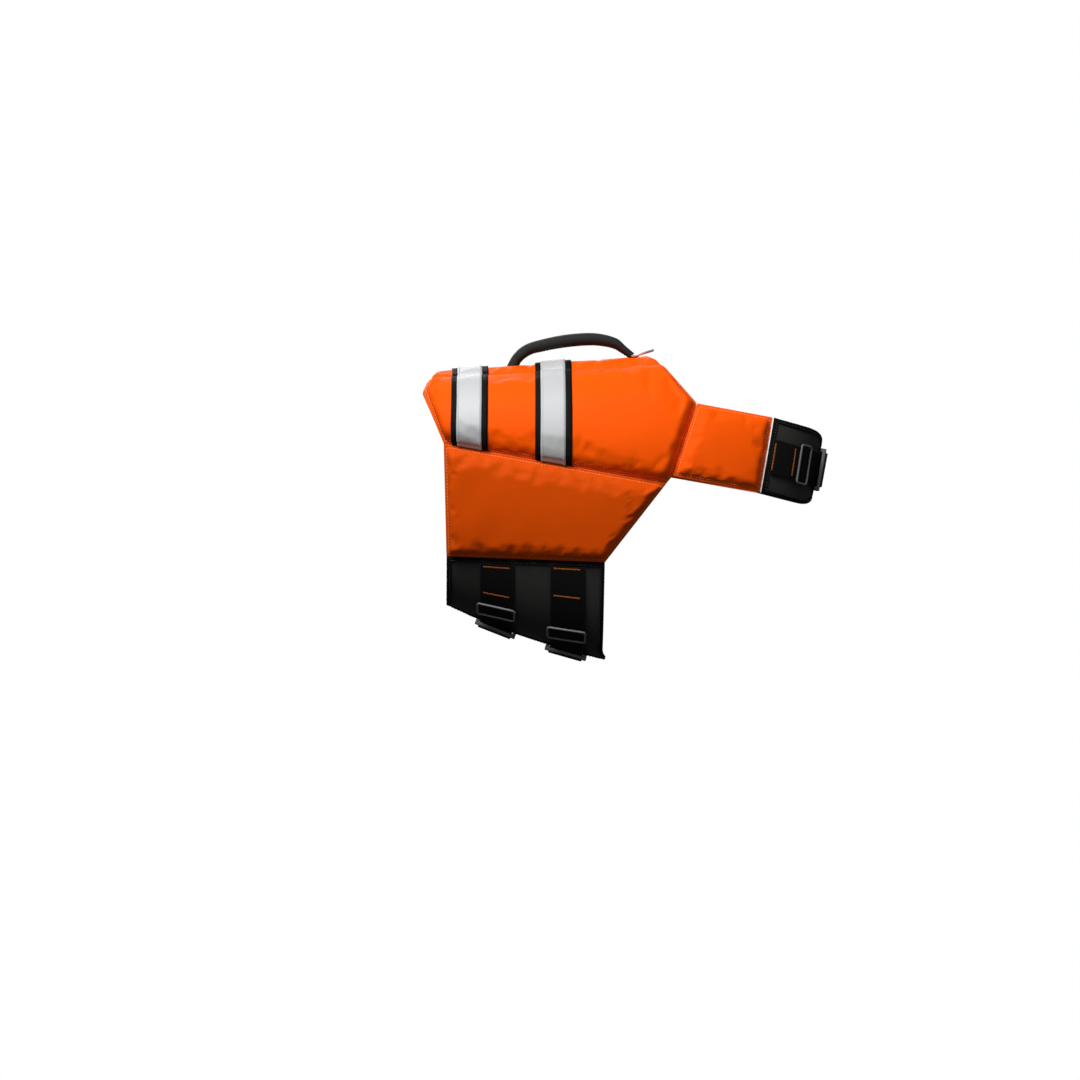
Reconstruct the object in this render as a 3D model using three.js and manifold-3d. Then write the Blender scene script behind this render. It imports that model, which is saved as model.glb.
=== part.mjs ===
import * as THREE from "three";
import { mergeVertices } from "three/addons/utils/BufferGeometryUtils.js";
import Module from "manifold-3d";

// Dog life jacket, closed as it is worn and hollow: foam-filled back, side and chest panels,
// bound belly and chest flaps, buckled straps, a lifting handle and a leash ring.
// Millimetres, +X towards the head, +Y to the wearer's left, +Z up.
// The origin is on the inner face of the spine panel, where the wearer's back carries the jacket.
// Cloth is built for the left side and mirrored to the right.

const wasm = await Module();
wasm.setup();

// CLOTH SIZES
const SEAM_GAP = 0.3;
const LAY_GAP = 0.5; // between a panel and what is sewn on it
const SPINE_HALF = 37; // from the middle of the back to the spine seam, along the girth
const HEM = { atOrigin: -203.1, slope: -0.04 }; // height of the side panel's lower edge
const FLAP_THICK = 3;
const BINDING = { wide: 5, thick: 4.5 };
const BELLY_SPLIT = 5; // distance between the two belly flaps
const CHEST_SPLIT = 6;
const CHEST_CORNER = { along: 44, across: 17 }; // a long round corner, which shows from the side too
const WEB = { wide: 38, thick: 2 };
const PIPING = { wide: 1.6, thick: 5.2 };
const STRIPE_WEB_THICK = 1.2;
const STRIPE_TAPE_THICK = 0.6;

// Foam panels: thickness at the seam and of the full pad, and how wide the rounded edge is on each side
const PADS = {
  spine: { seam: 4, full: 10, rear: 5, front: 5, top: 12, bottom: 12 },
  back: { seam: 4, full: 13, rear: 8, front: 12, top: 12, bottom: 12 },
  side: { seam: 4, full: 12, rear: 10, front: 12, top: 12, bottom: 12 },
  chest: { seam: 4, full: 9, rear: 12, front: 8, top: 10, bottom: 10 },
};

// Panel edges in side view, as the edge's X at each height, from the top down
const SPINE_EDGES = {
  rear: { middle: -124, corner: -4, power: 2 },
  front: { middle: 125.3, corner: 8.7, power: 1.5 },
};
const BACK_REAR_EDGE = [
  { height: -13.5, x: -128 },
  { height: -22.5, x: -131.7 },
  { height: -76.2, x: -108.2 },
];
const BACK_FRONT_EDGE = [
  { height: 5, x: 134 },
  { height: -33.6, x: 168.1 },
  { height: -112.6, x: 140.7 },
  { height: -120, x: 134.6 },
];
const SIDE_REAR_EDGE = [
  { height: -76.2, x: -108.2 },
  { height: -198.9, x: -105.1 },
];
const SIDE_FRONT_EDGE = [
  { height: -120, x: 134.6 },
  { height: -205.8, x: 67.8 },
];
const BELLY_EDGES = { rear: -104.8, frontAtHem: 67.6, frontAtMiddle: 65, lip: 4, lipFrom: 0.75 };

// Retroreflective stripes: the tape lies in the middle of a wider black webbing
const STRIPES = [
  { name: "rear", webStart: -99.1, tapeStart: -93, tapeEnd: -66, webEnd: -59.4 },
  { name: "front", webStart: -7.9, tapeStart: -1.9, tapeEnd: 25, webEnd: 31.7 },
];
const NECKLINE_STATIONS = [62, 93]; // X of two more columns, between the front stripe and the neckline

// Belly straps: X of the strap's middle, and how far above the belly line its slider sits
const BELLY_STRAPS = [
  { name: "rear", x: -49.7, sliderRise: 16.5 },
  { name: "front", x: 26.9, sliderRise: 17.5 },
];
const CHEST_SLIDER_SETBACK = 16.8; // how far the chest sliders lie behind the front of the chest

// A side-release buckle. Across, along and out are its own axes, and out starts at the flap's face.
const BUCKLE = {
  halfLong: 29,
  halfWide: 23.5,
  face: 3,
  rim: 7.6,
  crown: 9.6,
  crownHalf: 17,
  chamfer: 2.4,
  railLow: 1,
  railInside: 20.8,
  railFrom: 15,
  slotNear: 21.5,
  slotFar: 25.5,
  slotHalf: 19.5,
  plugFrom: 12,
  armTo: -6,
  armInside: 17.7,
};

// A slider. The webbing goes under its end bars and over its middle bar, in a low hump.
const SLIDER = { halfWide: 22, halfLong: 9, bar: 2, side: 2, low: 0.5, high: 5.2, middle: 1.2 };
const HUMP = { halfTop: 3, halfFoot: 5.3, lift: 2.3, clear: 7.5 };
const STRAP_START = 1; // from the edge's binding to the end of the webbing
const STRAP_STEP = 9;

// Lifting handle: middle line at y = 0, with its thickness
const HANDLE = [
  { x: -33.5, z: 8.6, thick: 11.8 },
  { x: -28, z: 18.3, thick: 11.8 },
  { x: -16.9, z: 27.2, thick: 12.6 },
  { x: 3.4, z: 33.1, thick: 13.4 },
  { x: 29.9, z: 37.6, thick: 14 },
  { x: 56.8, z: 38.9, thick: 13.6 },
  { x: 77.8, z: 34.8, thick: 12 },
  { x: 88.4, z: 27.7, thick: 9 },
  { x: 97.6, z: 20.9, thick: 7.4 },
  { x: 102.5, z: 17.5, thick: 7 },
];
const HANDLE_WIDE = 29;

// Half of the handle's rounded section, as shares of its thickness and width
const HANDLE_SECTION = [
  { thick: 0.5, wide: 0 },
  { thick: 0.42, wide: 0.34 },
  { thick: 0.2, wide: 0.5 },
  { thick: -0.2, wide: 0.5 },
  { thick: -0.42, wide: 0.34 },
  { thick: -0.5, wide: 0 },
];

// Leash ring: a D of round rod, its straight side held in the handle's front foot
const RING = { x: 99, z: 20.3, rod: 3, inside: 38, deep: 22.5, corner: 5, tilt: 16.7, runningGap: 0.35 };
const RING_STEPS = { straight: 3, corner: 3, bow: 10, round: 10 };

// GENERAL FIGURE that the jacket closes round: back line, widest line, belly line and half breadth.
// It has the lines of the garment's own cut and no other anatomy.
const BACK_SLOPE = 0.0714;
const WIDEST = { atOrigin: -95.7, slope: -0.18 };
const UPPER_POWER = 2.3;
const LOWER_POWER = 2.6;
const KEEL_TAPER = 0.1;
const FIGURE = [
  { x: -200, belly: -197.7, half: 68 },
  { x: -140, belly: -231.5, half: 81 },
  { x: -80, belly: -260.2, half: 90 },
  { x: -20, belly: -283.8, half: 96 },
  { x: 40, belly: -302.2, half: 99 },
  { x: 100, belly: -315.5, half: 98 },
  { x: 160, belly: -323.7, half: 92 },
  { x: 220, belly: -326.7, half: 80 },
];

// CHEST BAND SURFACE. Forward is measured along the band from the middle of the shoulder seam,
// and across is measured up from there.
const BAND = {
  x: 154.4,
  z: -73.1,
  tilt: 10.2,
  reach: 146,
  halfWide: 41.3,
  seamLean: 6.5, // how far the seam's top lies forward of its middle
  forwardPower: 2.2,
  sidePower: 2.4,
  flapFrom: 90, // forward place of the piping, where the foam ends
  flapDroop: 0.08, // the flap turns down by this slope
};

const { lerp, clamp, degToRad } = THREE.MathUtils;
const vec = (x, y, z) => new THREE.Vector3(x, y, z);
const mirrored = (p) => vec(p.x, -p.y, p.z);

// A smooth curve through an evenly spaced table
function smoothAt(table, column, x) {
  const step = table[1].x - table[0].x;
  const place = clamp((x - table[0].x) / step, 0, table.length - 1.001);
  const i = Math.floor(place);
  const t = place - i;
  const value = (k) => table[clamp(k, 0, table.length - 1)][column];
  const [a, b, c, d] = [value(i - 1), value(i), value(i + 1), value(i + 2)];
  return b + 0.5 * t * (c - a + t * (2 * a - 5 * b + 4 * c - d + t * (3 * (b - c) + d - a)));
}

// The X of an edge at a height
function edgeAt(table, height) {
  let i = 0;
  while (i < table.length - 2 && height < table[i + 1].height) i++;
  const [upper, lower] = [table[i], table[i + 1]];
  return lerp(upper.x, lower.x, (upper.height - height) / (upper.height - lower.height));
}

// A polyline with the length up to each of its points
function measured(points) {
  const lengths = [0];
  for (let i = 1; i < points.length; i++) {
    lengths.push(lengths[i - 1] + points[i].distanceTo(points[i - 1]));
  }
  const at = (length) => {
    let i = 1;
    while (i < points.length - 1 && lengths[i] < length) i++;
    const share = (length - lengths[i - 1]) / (lengths[i] - lengths[i - 1]);
    return points[i - 1].clone().lerp(points[i], share);
  };
  return { points, lengths, total: lengths.at(-1), at };
}

// The left half of the figure's section, from the middle of the back to the middle of the belly
const sections = new Map();
function sectionAt(x) {
  if (sections.has(x)) return sections.get(x);
  const QUARTER_STEPS = 60;
  const back = BACK_SLOPE * x;
  const widest = WIDEST.atOrigin + WIDEST.slope * x;
  const belly = smoothAt(FIGURE, "belly", x);
  const half = smoothAt(FIGURE, "half", x);
  const points = [];
  for (let k = 0; k <= 2 * QUARTER_STEPS; k++) {
    const angle = (k / QUARTER_STEPS) * (Math.PI / 2);
    const upper = k <= QUARTER_STEPS;
    const power = 2 / (upper ? UPPER_POWER : LOWER_POWER);
    const out = Math.max(Math.sin(angle), 0) ** power;
    const up = Math.abs(Math.cos(angle)) ** power;
    const taper = upper ? 1 : 1 - KEEL_TAPER * up;
    points.push(vec(x, half * out * taper, widest + up * (upper ? back - widest : belly - widest)));
  }
  const section = measured(points);
  section.fold = section.lengths[QUARTER_STEPS];
  sections.set(x, section);
  return section;
}

// A point of the figure by X and girth. Past the middle of the back or belly it comes back mirrored.
function onFigure(x, girth) {
  const section = sectionAt(x);
  if (girth < 0) return mirrored(section.at(-girth));
  if (girth > section.total) return mirrored(section.at(2 * section.total - girth));
  return section.at(girth);
}

// The girth at which the section passes a height
function girthAtHeight(x, height) {
  const { points, lengths } = sectionAt(x);
  let i = 1;
  while (i < points.length - 1 && points[i].z > height) i++;
  return lerp(lengths[i - 1], lengths[i], (points[i - 1].z - height) / (points[i - 1].z - points[i].z));
}

const foldAt = (x) => sectionAt(x).fold;
const hemAt = (x) => girthAtHeight(x, HEM.atOrigin + HEM.slope * x);
const bellyMiddleAt = (x) => sectionAt(x).total;

// Chest band: one level of it, from the front of the chest back to the shoulder seam
const bandTilt = degToRad(BAND.tilt);
const bandMiddle = vec(BAND.x, 0, BAND.z);
const bandForward = vec(Math.cos(bandTilt), 0, -Math.sin(bandTilt));
const bandUp = vec(Math.sin(bandTilt), 0, Math.cos(bandTilt));
const forwardOf = (p) => p.clone().sub(bandMiddle).dot(bandForward);

function bandPoint(forward, across, y) {
  const droop = BAND.flapDroop * Math.max(0, forward - BAND.flapFrom);
  const p = bandMiddle.clone().addScaledVector(bandForward, forward);
  return p.addScaledVector(bandUp, across - droop).setY(y);
}

const levels = new Map();
function bandLevel(across) {
  if (levels.has(across)) return levels.get(across);
  const STEPS = 90;
  const SLOPE_STEP = 2;
  const breadth = (forward) => {
    const p = bandPoint(forward, across, 0);
    return onFigure(p.x, girthAtHeight(p.x, p.z)).y;
  };
  const start = (BAND.seamLean * across) / BAND.halfWide;
  const half = breadth(start);
  const slope = (half - breadth(start - SLOPE_STEP)) / SLOPE_STEP;
  const points = [];
  for (let k = 0; k <= STEPS; k++) {
    const angle = (1 - k / STEPS) * (Math.PI / 2);
    const share = Math.sin(angle) ** (2 / BAND.forwardPower);
    const side = Math.max(Math.cos(angle), 0) ** (2 / BAND.sidePower);
    const forward = lerp(start, BAND.reach, share);
    points.push(bandPoint(forward, across, half * side + slope * (forward - start) * (1 - share) ** 2));
  }
  const level = measured(points);
  level.arcAt = (forward) => {
    let i = 1;
    while (i < STEPS && forwardOf(points[i]) > forward) i++;
    const [near, far] = [forwardOf(points[i - 1]), forwardOf(points[i])];
    return lerp(level.lengths[i - 1], level.lengths[i], (near - forward) / (near - far));
  };
  levels.set(across, level);
  return level;
}

// A point of the band by its distance back from the front of the chest
function onBand(arc, across) {
  return arc < 0 ? mirrored(bandLevel(across).at(-arc)) : bandLevel(across).at(arc);
}

// Outward normals
function crossOf(place, a, b) {
  const STEP = 0.5;
  const alongA = place(a + STEP, b).sub(place(a - STEP, b));
  const alongB = place(a, b + STEP).sub(place(a, b - STEP));
  return alongA.cross(alongB).normalize();
}
const figureNormal = (x, girth) => crossOf(onFigure, x, girth);

// How far the figure's surface runs across a strap for each mm of X
function spreadAt(x, girth) {
  const STEP = 0.5;
  const alongX = onFigure(x + STEP, girth).sub(onFigure(x - STEP, girth));
  const down = onFigure(x, girth + STEP).sub(onFigure(x, girth - STEP));
  return alongX.projectOnPlane(down.normalize()).length();
}
const bandNormal = (arc, across) => crossOf((back, down) => onBand(-back, -down), -arc, -across);

// GRIDS. A station says where a row or column lies between a panel's two edges.
const fromStart = (distance) => (start, end) => start + Math.sign(end - start) * distance;
const fromEnd = (distance) => (start, end) => end - Math.sign(end - start) * distance;
const share = (part) => (start, end) => lerp(start, end, part);
const fixed = (value) => () => value;
const evenly = (count) => Array.from({ length: count }, (_, k) => share((k + 1) / (count + 1)));
// on the seam, on the steep part of a pad's edge, and where the pad is full
const padStart = (width) => [fromStart(0), fromStart(width / 3), fromStart(width)];
const padEnd = (width) => [fromEnd(width), fromEnd(width / 3), fromEnd(0)];
const SETTLE_PASSES = 5;

const raised = ({ point, normal, height }) => point.clone().addScaledVector(normal, height);

// A grid holds its inner points, its outer points and the normals, column by column from the rear,
// and each column from the top down.
function makeGrid(columns, rows, pointAt) {
  const cells = columns.map((column) => rows.map((row) => pointAt(column, row)));
  return {
    inner: cells.map((line) => line.map((cell) => cell.point)),
    outer: cells.map((line) => line.map((cell) => raised(cell))),
    normals: cells.map((line) => line.map((cell) => cell.normal)),
  };
}

function figureGrid({ top, bottom, rear, front, columns, rows, height }) {
  return makeGrid(columns, rows, (column, row) => {
    let x = 0;
    let girth = 0;
    let edges = [];
    for (let pass = 0; pass < SETTLE_PASSES; pass++) {
      girth = row(top(x), bottom(x));
      const part = (girth - top(x)) / (bottom(x) - top(x));
      const level = onFigure(x, girth).z;
      edges = [rear(level, part), front(level, part)];
      x = column(...edges);
    }
    girth = row(top(x), bottom(x));
    const from = { rear: x - edges[0], front: edges[1] - x, top: girth - top(x), bottom: bottom(x) - girth };
    return { point: onFigure(x, girth), normal: figureNormal(x, girth), height: height(from) };
  });
}

function bandGrid({ start, end, top, bottom, columns, rows, height }) {
  return makeGrid(columns, rows, (column, row) => {
    let across = 0;
    let arc = 0;
    for (let pass = 0; pass < SETTLE_PASSES; pass++) {
      arc = column(start(across), end(across));
      across = row(top(arc), bottom(arc));
    }
    const from = {
      rear: start(across) - arc,
      front: arc - end(across),
      top: top(arc) - across,
      bottom: across - bottom(arc),
    };
    return { point: onBand(arc, across), normal: bandNormal(arc, across), height: height(from) };
  });
}

// The thickness of a foam panel, thin at its seams and rounding up to the full pad
function padHeight(pad) {
  const dome = (distance, width) => Math.sqrt(1 - (1 - clamp(distance / width, 0, 1)) ** 2);
  return (from) => {
    const rise = ["rear", "front", "top", "bottom"].reduce((r, edge) => r * dome(from[edge], pad[edge]), 1);
    return lerp(pad.seam, pad.full, rise);
  };
}

const movedOut = (points, normals, distance) =>
  points.map((line, i) => line.map((p, j) => p.clone().addScaledVector(normals[i][j], distance)));

// SOLIDS
function geometryFrom(triangles) {
  const geometry = new THREE.BufferGeometry();
  const positions = triangles.flat().flatMap((p) => [p.x, p.y, p.z]);
  geometry.setAttribute("position", new THREE.Float32BufferAttribute(positions, 3));
  return geometry;
}

// A closed wall between an inner and an outer grid. Cells that aren't kept are left open.
function wall(inner, outer, kept = () => true) {
  const columns = inner.length;
  const rows = inner[0].length;
  const triangles = [];
  const quad = (a, b, c, d) => triangles.push([a, b, c], [a, c, d]);
  const solid = (i, j) => i >= 0 && j >= 0 && i < columns - 1 && j < rows - 1 && kept(i, j);
  const edge = (i, j, k, l) => quad(inner[i][j], inner[k][l], outer[k][l], outer[i][j]);
  for (let i = 0; i < columns - 1; i++) {
    for (let j = 0; j < rows - 1; j++) {
      if (!solid(i, j)) continue;
      quad(outer[i][j], outer[i + 1][j], outer[i + 1][j + 1], outer[i][j + 1]);
      quad(inner[i][j], inner[i][j + 1], inner[i + 1][j + 1], inner[i + 1][j]);
      if (!solid(i, j - 1)) edge(i, j, i + 1, j);
      if (!solid(i + 1, j)) edge(i + 1, j, i + 1, j + 1);
      if (!solid(i, j + 1)) edge(i + 1, j + 1, i, j + 1);
      if (!solid(i - 1, j)) edge(i, j + 1, i, j);
    }
  }
  return geometryFrom(triangles);
}

// A solid through a row of rings, closed into a loop or capped at both ends
function loft(rings, looped = false) {
  const triangles = [];
  const spans = looped ? rings.length : rings.length - 1;
  for (let i = 0; i < spans; i++) {
    const [a, b] = [rings[i], rings[(i + 1) % rings.length]];
    for (let k = 0; k < a.length; k++) {
      const next = (k + 1) % a.length;
      triangles.push([a[k], b[next], b[k]], [a[k], a[next], b[next]]);
    }
  }
  if (!looped) {
    const [first, last] = [rings[0], rings.at(-1)];
    for (let k = 1; k < first.length - 1; k++) {
      triangles.push([first[0], first[k + 1], first[k]], [last[0], last[k], last[k + 1]]);
    }
  }
  return geometryFrom(triangles);
}

function mirroredGeometry(geometry) {
  const corners = geometry.clone().scale(1, -1, 1).attributes.position;
  const triangles = [];
  for (let i = 0; i < corners.count; i += 3) {
    const [a, b, c] = [0, 1, 2].map((k) => vec().fromBufferAttribute(corners, i + k));
    triangles.push([a, c, b]);
  }
  return geometryFrom(triangles);
}

const MERGE_DISTANCE = 1e-4;
function solidOf(geometry) {
  const bare = geometry.clone();
  bare.deleteAttribute("normal");
  bare.deleteAttribute("uv");
  const merged = mergeVertices(bare, MERGE_DISTANCE);
  const vertProperties = merged.attributes.position.array;
  const triVerts = new Uint32Array(merged.index.array);
  return new wasm.Manifold(new wasm.Mesh({ numProp: 3, vertProperties, triVerts }));
}

function geometryOf(solid) {
  const { vertProperties, triVerts } = solid.getMesh();
  const geometry = new THREE.BufferGeometry();
  geometry.setAttribute("position", new THREE.BufferAttribute(vertProperties, 3));
  geometry.setIndex(new THREE.BufferAttribute(triVerts, 1));
  return geometry.toNonIndexed();
}

// A block between two opposite corners
function block(a, b) {
  const size = a.map((value, k) => Math.abs(b[k] - value));
  const middle = a.map((value, k) => (value + b[k]) / 2);
  return solidOf(new THREE.BoxGeometry(...size).translate(...middle));
}

// MATERIALS
const finish = (color, roughness, metalness = 0) =>
  new THREE.MeshStandardMaterial({ color, roughness, metalness });
const ORANGE_CLOTH = finish(0xf26000, 0.62);
const BLACK_NEOPRENE = finish(0x2a2a28, 0.85);
const BLACK_BINDING = finish(0x070707, 0.7);
const BLACK_WEBBING = finish(0x0c0c0c, 0.8);
const WHITE_PIPING = finish(0xf2f4f4, 0.5);
const SILVER_TAPE = finish(0xd8d8d8, 0.35);
const HANDLE_SLEEVE = finish(0x232321, 0.75);
const GREY_PLASTIC = finish(0x3c3c3c, 0.45);
const STEEL = finish(0xd9dadb, 0.22, 1);

const jacket = new THREE.Group();

function add(name, geometry, material, frame = new THREE.Matrix4()) {
  const mesh = new THREE.Mesh(geometry, material);
  mesh.name = name;
  frame.decompose(mesh.position, mesh.quaternion, mesh.scale);
  jacket.add(mesh);
}

function addPair(name, geometry, material) {
  add(`${name}_left`, geometry, material);
  add(`${name}_right`, mirroredGeometry(geometry), material);
}

// SPINE PANEL, one strip over the back from tail edge to neckline
const bowed = ({ middle, corner, power }) => (level, part) =>
  middle + corner * Math.abs(2 * part - 1) ** power;
const stripeStations = STRIPES.flatMap((s) => [s.webStart, s.tapeStart, s.tapeEnd, s.webEnd]).map(fixed);
const necklineStations = NECKLINE_STATIONS.map(fixed);
const spineRear = padStart(PADS.spine.rear);
const spine = figureGrid({
  top: () => -SPINE_HALF,
  bottom: () => SPINE_HALF,
  rear: bowed(SPINE_EDGES.rear),
  front: bowed(SPINE_EDGES.front),
  columns: [...spineRear, ...stripeStations, ...necklineStations, ...padEnd(PADS.spine.front)],
  rows: [...padStart(PADS.spine.top), share(0.5), ...padEnd(PADS.spine.bottom)],
  height: padHeight(PADS.spine),
});
add("spine_panel", wall(spine.inner, spine.outer), ORANGE_CLOTH);

// BACK PANELS, from the spine seam down to the widest line
const shoulderStation = (start, end) => (NECKLINE_STATIONS.at(-1) + end - PADS.back.front) / 2;
const back = figureGrid({
  top: () => SPINE_HALF + SEAM_GAP,
  bottom: (x) => foldAt(x) - SEAM_GAP / 2,
  rear: (level) => edgeAt(BACK_REAR_EDGE, level),
  front: (level) => edgeAt(BACK_FRONT_EDGE, level) - SEAM_GAP,
  columns: [
    ...padStart(PADS.back.rear),
    ...[...stripeStations, ...necklineStations, shoulderStation],
    ...padEnd(PADS.back.front),
  ],
  rows: [...padStart(PADS.back.top), share(0.26), share(0.4), share(0.62), ...padEnd(PADS.back.bottom)],
  height: padHeight(PADS.back),
});
addPair("back_panel", wall(back.inner, back.outer), ORANGE_CLOTH);

// SIDE PANELS, from the widest line down to the hem
const side = figureGrid({
  top: (x) => foldAt(x) + SEAM_GAP / 2,
  bottom: (x) => hemAt(x) - SEAM_GAP / 2,
  rear: (level) => edgeAt(SIDE_REAR_EDGE, level),
  front: (level) => edgeAt(SIDE_FRONT_EDGE, level),
  columns: [...padStart(PADS.side.rear), ...evenly(3), ...padEnd(PADS.side.front)],
  rows: [...padStart(PADS.side.top), ...evenly(2), ...padEnd(PADS.side.bottom)],
  height: padHeight(PADS.side),
});
addPair("side_panel", wall(side.inner, side.outer), ORANGE_CLOTH);

// REFLECTIVE STRIPES. Each crosses the back in one length, from widest line to widest line.
const stripeFirst = spineRear.length;
const acrossBack = (key, column) => {
  const left = back[key][column];
  const flipped = left.map(mirrored).reverse();
  return [...flipped, ...spine[key][column], ...left];
};
STRIPES.forEach((stripe, order) => {
  const columns = [0, 1, 2, 3].map((k) => stripeFirst + 4 * order + k);
  const outer = columns.map((column) => acrossBack("outer", column));
  const normals = columns.map((column) => acrossBack("normals", column));
  const under = movedOut(outer, normals, LAY_GAP);
  const face = movedOut(under, normals, STRIPE_WEB_THICK);
  add(`stripe_webbing_${stripe.name}`, wall(under, face), BLACK_WEBBING);
  const tapeNormals = normals.slice(1, 3);
  const tapeUnder = movedOut(face.slice(1, 3), tapeNormals, LAY_GAP);
  const tapeFace = movedOut(tapeUnder, tapeNormals, STRIPE_TAPE_THICK);
  add(`stripe_tape_${stripe.name}`, wall(tapeUnder, tapeFace), SILVER_TAPE);
});

// CHEST BAND, padded as far as the piping
const pipingArc = (across) => bandLevel(across).arcAt(BAND.flapFrom);
const bandTop = () => BAND.halfWide;
const bandBottom = () => -BAND.halfWide;
const chest = bandGrid({
  start: (across) => bandLevel(across).total - SEAM_GAP,
  end: (across) => pipingArc(across) + SEAM_GAP,
  top: bandTop,
  bottom: bandBottom,
  columns: [...padStart(PADS.chest.rear), ...evenly(3), ...padEnd(PADS.chest.front)],
  rows: [...padStart(PADS.chest.top), share(0.5), ...padEnd(PADS.chest.bottom)],
  height: padHeight(PADS.chest),
});
addPair("chest_band", wall(chest.inner, chest.outer), ORANGE_CLOTH);

const piping = bandGrid({
  start: pipingArc,
  end: (across) => pipingArc(across) - PIPING.wide,
  top: bandTop,
  bottom: bandBottom,
  columns: [share(0), share(1)],
  rows: [share(0), ...evenly(3), share(1)],
  height: () => PIPING.thick,
});
addPair("chest_piping", wall(piping.inner, piping.outer), WHITE_PIPING);

// A bound flap's binding is the outermost ring of its cells. The next ring in is the seam gap,
// and the rest is the flap.
const onRim = (columns, rows) => (i, j) => i < 1 || j < 1 || i > columns - 3 || j > rows - 3;
const insideRim = (columns, rows) => (i, j) => i > 1 && j > 1 && i < columns - 3 && j < rows - 3;

function addBoundFlap(name, gridAt, columns, rows) {
  const flap = gridAt(FLAP_THICK);
  const binding = gridAt(BINDING.thick);
  addPair(`${name}_flap`, wall(flap.inner, flap.outer, insideRim(columns, rows)), BLACK_NEOPRENE);
  addPair(`${name}_binding`, wall(binding.inner, binding.outer, onRim(columns, rows)), BLACK_BINDING);
}

// CHEST FLAPS, with rounded corners, stopping short of the middle of the chest
const flapEnd = CHEST_SPLIT / 2;
const cornerTop = (arc, inset) => {
  const along = CHEST_CORNER.along - inset;
  const across = CHEST_CORNER.across - inset;
  const left = 1 - clamp((arc - flapEnd - inset) / along, 0, 1);
  return BAND.halfWide - inset - across * (1 - Math.sqrt(1 - left ** 2));
};
const flapTop = (arc) => cornerTop(arc, 0);
const boundTop = (arc) => cornerTop(arc, BINDING.wide) + Math.min(arc - flapEnd - BINDING.wide, 0) / 2;
const upperRows = [flapTop, boundTop, (arc) => boundTop(arc) - SEAM_GAP, () => WEB.wide / 2, () => 0];
const lowerRows = upperRows.slice(0, -1).reverse().map((place) => (arc) => -place(arc));
const chestFlapLevels = [...upperRows, ...lowerRows];
const CORNER_SHARES = [1, 0.72, 0.46, 0.26]; // closer where the corner turns most
const cornerColumns = CORNER_SHARES.map((part) => fromEnd(part * CHEST_CORNER.along));
const chestFlapColumns = [
  ...[fromStart(0), fromStart(BINDING.wide), fromStart(BINDING.wide + SEAM_GAP), share(0.3)],
  ...cornerColumns,
  ...[fromEnd(BINDING.wide + SEAM_GAP), fromEnd(BINDING.wide), fromEnd(0)],
];
const chestFlapGrid = (thick) =>
  makeGrid(chestFlapColumns, chestFlapLevels, (column, level) => {
    let across = 0;
    let arc = 0;
    for (let pass = 0; pass < SETTLE_PASSES; pass++) {
      arc = column(pipingArc(across) - PIPING.wide - SEAM_GAP, flapEnd);
      across = level(arc);
    }
    return { point: onBand(arc, across), normal: bandNormal(arc, across), height: thick };
  });
addBoundFlap("chest", chestFlapGrid, chestFlapColumns.length, chestFlapLevels.length);

// BELLY FLAPS, meeting under the belly
const bellyFront = (level, part) => {
  const lip = BELLY_EDGES.lip * THREE.MathUtils.smoothstep(part, BELLY_EDGES.lipFrom, 1);
  return lerp(BELLY_EDGES.frontAtHem, BELLY_EDGES.frontAtMiddle, part) + lip;
};
const strapEdges = BELLY_STRAPS.flatMap((strap) => [strap.x - WEB.wide / 2, strap.x + WEB.wide / 2]);
const boundStart = [fromStart(0), fromStart(BINDING.wide), fromStart(BINDING.wide + SEAM_GAP)];
const boundEnd = [fromEnd(BINDING.wide + SEAM_GAP), fromEnd(BINDING.wide), fromEnd(0)];
const bellyColumns = [...boundStart, ...strapEdges.map(fixed), ...boundEnd];
const bellyRows = [...boundStart, ...[0.16, 0.28, 0.4, 0.5, 0.6, 0.7, 0.8, 0.9].map(share), ...boundEnd];
const bellyFlapGrid = (thick) =>
  figureGrid({
    top: (x) => hemAt(x) + SEAM_GAP / 2,
    bottom: (x) => bellyMiddleAt(x) - BELLY_SPLIT / 2,
    rear: () => BELLY_EDGES.rear,
    front: bellyFront,
    columns: bellyColumns,
    rows: bellyRows,
    height: () => thick,
  });
addBoundFlap("belly", bellyFlapGrid, bellyColumns.length, bellyRows.length);

// BUCKLES
function buckleBody() {
  const b = BUCKLE;
  const half = [
    [b.crownHalf - 1, b.crown],
    [b.crownHalf, b.rim],
    [b.halfWide - b.chamfer, b.rim],
    [b.halfWide, b.rim - b.chamfer],
    [b.halfWide, b.railLow],
    [b.railInside, b.railLow],
    [b.railInside, b.face],
  ];
  const outline = [...half, ...half.map(([across, out]) => [-across, out]).reverse()];
  const shape = new THREE.Shape(outline.map(([across, out]) => new THREE.Vector2(across, out)));
  const extruded = new THREE.ExtrudeGeometry(shape, { depth: 2 * b.halfLong, bevelEnabled: false });
  // drawn as across and out, extruded along
  const turn = new THREE.Matrix4().makeBasis(vec(1, 0, 0), vec(0, 0, 1), vec(0, -1, 0));
  const body = solidOf(extruded.applyMatrix4(turn).translate(0, b.halfLong, 0));
  const wide = b.halfWide + 1;
  const cuts = [block([-wide, -b.railFrom, 0], [wide, b.railFrom, b.face])];
  for (const end of [-1, 1]) {
    cuts.push(block([-b.slotHalf, end * b.slotNear, 0], [b.slotHalf, end * b.slotFar, b.crown + 1]));
  }
  return cuts.reduce((all, cut) => all.subtract(cut), body);
}

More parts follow.
